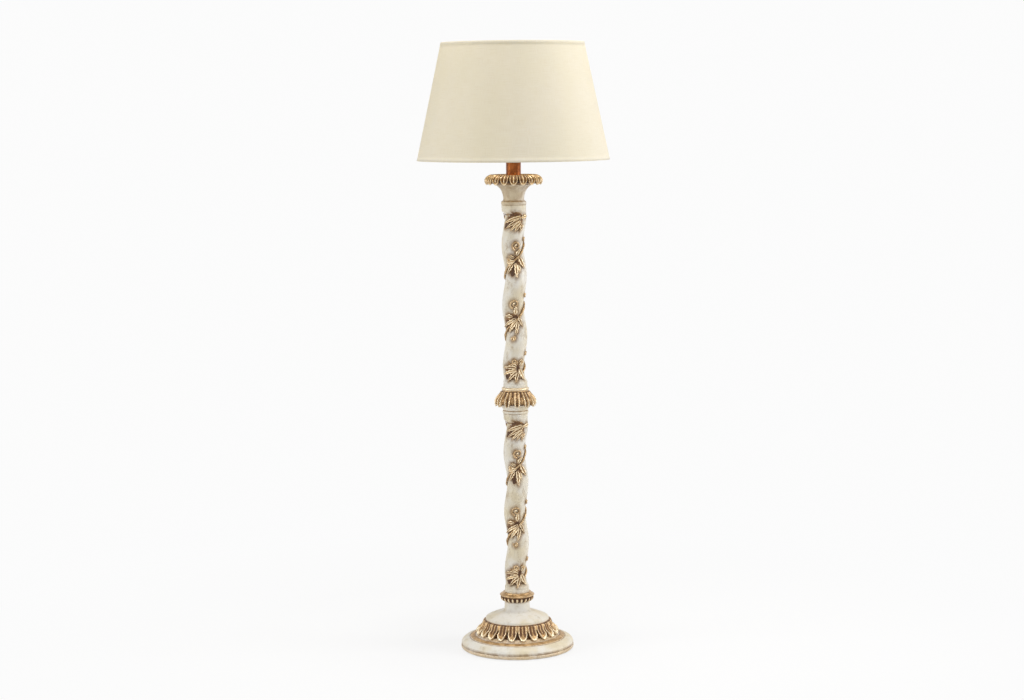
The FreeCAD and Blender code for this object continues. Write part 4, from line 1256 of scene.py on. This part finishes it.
def make_shade():
    """The cover with its folded hems at top and bottom, and the lapped seam behind."""
    foot = underside("shade_cover")
    length = topside("shade_cover") - foot
    heights = np.concatenate([
        [0.0, 0.4, HEM_HEIGHT, HEM_HEIGHT + 0.5], np.linspace(14.0, length - 14.0, 40),
        [length - HEM_HEIGHT - 0.5, length - HEM_HEIGHT, length - 0.4, length],
    ])
    from_edge = np.minimum(heights, length - heights)
    hem = HEM_STEP * (1.0 - rise(from_edge, HEM_HEIGHT, HEM_HEIGHT + 0.5)) - 0.4 * (from_edge < 0.2)
    radii = shade_radius(heights)
    angle = seam_angles(radii.mean())
    from_seam = (angle - math.pi / 2) * radii.mean()
    past = rise(from_seam, -SEAM_EDGE, 0.0)
    outer_lap = SEAM_STEP * past * (1.0 - rise(from_seam, SEAM_LAP, 2 * SEAM_LAP))
    inner_lap = SEAM_STEP * rise(from_seam, -SEAM_LAP - SEAM_EDGE, -SEAM_LAP) * (1.0 - past)
    outer = (radii - HEM_STEP + hem)[:, None] + outer_lap
    inner = (radii - SHADE_THICKNESS - HEM_STEP - hem)[::-1, None] - inner_lap
    radius = np.vstack([outer, inner])
    height = np.concatenate([heights, heights[::-1]])[:, None] + foot
    cover = Shape().add_grid(polar_grid(radius, angle, height), looped=True)
    piece = cover.place("shade_fabric", "shade_cover", "shade_silk", "shade")
    give_cloth_map(piece.data, radii.mean())


def give_cloth_map(mesh, radius):
    """A map in metres: round the cover and up it."""
    layer = mesh.uv_layers.new(name="cloth")
    corner_vertex = np.empty(len(mesh.loops), np.int32)
    mesh.loops.foreach_get("vertex_index", corner_vertex)
    place = np.array([v.co for v in mesh.vertices])[corner_vertex]
    around = np.mod(np.arctan2(place[:, 1], place[:, 0]) - math.pi / 2, 2 * math.pi)
    around = around.reshape(-1, 4)
    wraps = (around.max(axis=1) - around.min(axis=1)) > math.pi
    around[wraps] = np.where(around[wraps] < math.pi, around[wraps] + 2 * math.pi, around[wraps])
    cloth = np.stack([around.reshape(-1) * radius * MM, place[:, 2]], axis=1)
    layer.data.foreach_set("uv", cloth.astype(np.float32).reshape(-1))


# ---- floor, light and camera
BACKDROP = 0.97             # how bright backdrop and floor look, just under white
AMBIENT = 0.42              # how strongly the room lights the lamp
VEIL = (0.2, 0.2, 0.2, 1.0)
VEIL_LIGHT = 0.2            # what the floor's veil adds where nothing shades it
BLACK = (0.0, 0.0, 0.0, 1.0)
FLOOR_NEAR = 0.5            # the veil fades out between these distances, in metres
FLOOR_FAR = 1.6


def make_floor():
    """A pale floor that reads as nearly white to the camera and keeps the lamp's shadow."""
    mesh = bpy.data.meshes.new("floor")
    corners = [(-40.0, -40.0, 0.0), (40.0, -40.0, 0.0), (40.0, 40.0, 0.0), (-40.0, 40.0, 0.0)]
    mesh.from_pydata(corners, [], [(0, 1, 2, 3)])
    floor = add_object("floor", mesh)
    material, tree = new_material("floor")
    tree.nodes.clear()
    seen = seen_directly(tree)
    place = tree.nodes.new("ShaderNodeTexCoord").outputs["Object"]
    distance = add_node(tree, "ShaderNodeVectorMath", {0: place}, output=1, operation="LENGTH")
    near = ramp(tree, distance, FLOOR_NEAR, FLOOR_FAR, 1.0, 0.0)
    diffuse = add_node(tree, "ShaderNodeBsdfDiffuse", {"Color": (0.8, 0.8, 0.79, 1.0)})
    veil = add_node(tree, "ShaderNodeBsdfDiffuse", {"Color": mixed(tree, near, BLACK, VEIL)})
    strength = math_node(tree, "SUBTRACT", BACKDROP, scaled(tree, near, VEIL_LIGHT))
    glow = add_node(tree, "ShaderNodeEmission", {"Color": (1.0, 1.0, 1.0, 1.0), "Strength": strength})
    pale = add_node(tree, "ShaderNodeAddShader", {0: veil, 1: glow})
    shown = add_node(tree, "ShaderNodeMixShader", {0: seen, 1: diffuse, 2: pale})
    output = tree.nodes.new("ShaderNodeOutputMaterial")
    tree.links.new(shown, output.inputs["Surface"])
    mesh.materials.append(material)


def seen_directly(tree):
    """1 for a ray from the camera, off a glossy surface or through glass."""
    path = tree.nodes.new("ShaderNodeLightPath")
    seen = math_node(tree, "MAXIMUM", path.outputs["Is Camera Ray"], path.outputs["Is Glossy Ray"])
    return math_node(tree, "MAXIMUM", seen, path.outputs["Is Transmission Ray"])


def make_world():
    world = bpy.data.worlds.new("studio")
    bpy.context.scene.world = world
    world.use_nodes = True
    tree = world.node_tree
    background = tree.nodes["Background"]
    background.inputs["Color"].default_value = (1.0, 1.0, 1.0, 1.0)
    strength = ramp(tree, seen_directly(tree), 0.0, 1.0, AMBIENT, BACKDROP)
    join(tree, background.inputs["Strength"], strength)


# Softboxes: name, place, size, power in watts and colour.
SOFTBOXES = [
    ("key", (3.9, -0.6, 2.1), 1.8, 74.0, (1.0, 0.99, 0.985)),
    ("side", (-3.6, -1.2, 1.9), 1.6, 44.0, (1.0, 0.995, 0.98)),
    ("top", (0.3, -0.5, 4.4), 1.2, 72.0, (1.0, 0.985, 0.95)),
]


def make_lights():
    target = Vector((0.0, 0.0, 0.9))
    for name, place, size, power, colour in SOFTBOXES:
        data = bpy.data.lights.new(name, "AREA")
        data.shape = "DISK"
        data.size = size
        data.energy = power
        data.color = colour
        lamp = add_object(name, data)
        lamp.location = place
        lamp.rotation_mode = "QUATERNION"
        lamp.rotation_quaternion = (target - Vector(place)).to_track_quat("-Z", "Y")


def make_camera():
    data = bpy.data.cameras.new("camera")
    data.sensor_width = SENSOR_WIDTH
    data.lens = FOCAL_PIXELS / FRAME_WIDTH * SENSOR_WIDTH
    camera = add_object("camera", data)
    tilt = Matrix.Rotation(math.radians(90.0 - CAMERA_TILT), 4, "X")
    roll = Matrix.Rotation(math.radians(CAMERA_ROLL), 4, "Z")
    place = Matrix.Translation(Vector((CAMERA_ACROSS, -CAMERA_DISTANCE, CAMERA_HEIGHT)) * MM)
    camera.matrix_world = place @ tilt @ roll
    bpy.context.scene.camera = camera


# ---- the scene
def main():
    make_felt()
    make_painted("base_plinth", "plinth_turning", PLINTH_OUTLINE, PLINTH_MARKS, (24, 1.1))
    make_painted("base_dome", "dome_turning", DOME_OUTLINE, DOME_MARKS, (24, 1.1))
    make_leaf_moulding()
    make_collar()
    make_shaft("lower")
    make_painted("knop_cup", "knop_cup_turning", CUP_OUTLINE, CUP_MARKS, (18, 0.9), 0.5)
    make_painted("capital", "capital_turning", CAPITAL_OUTLINE, CAPITAL_MARKS, (18, 0.9), 0.6)
    make_knop()
    make_shaft("upper")
    make_pan()
    make_tube()
    make_ballast()
    make_tie_rod()
    make_nuts()
    make_plates()
    make_gland()
    make_holder()
    make_contact()
    make_bar()
    make_clamp_ring()
    make_bulb()
    make_hoop("shade_top_wire")
    make_hoop("shade_bottom_wire")
    make_fitter()
    make_shade()
    make_floor()
    make_world()
    make_lights()
    make_camera()
    bpy.context.scene.view_settings.view_transform = "Standard"


main()
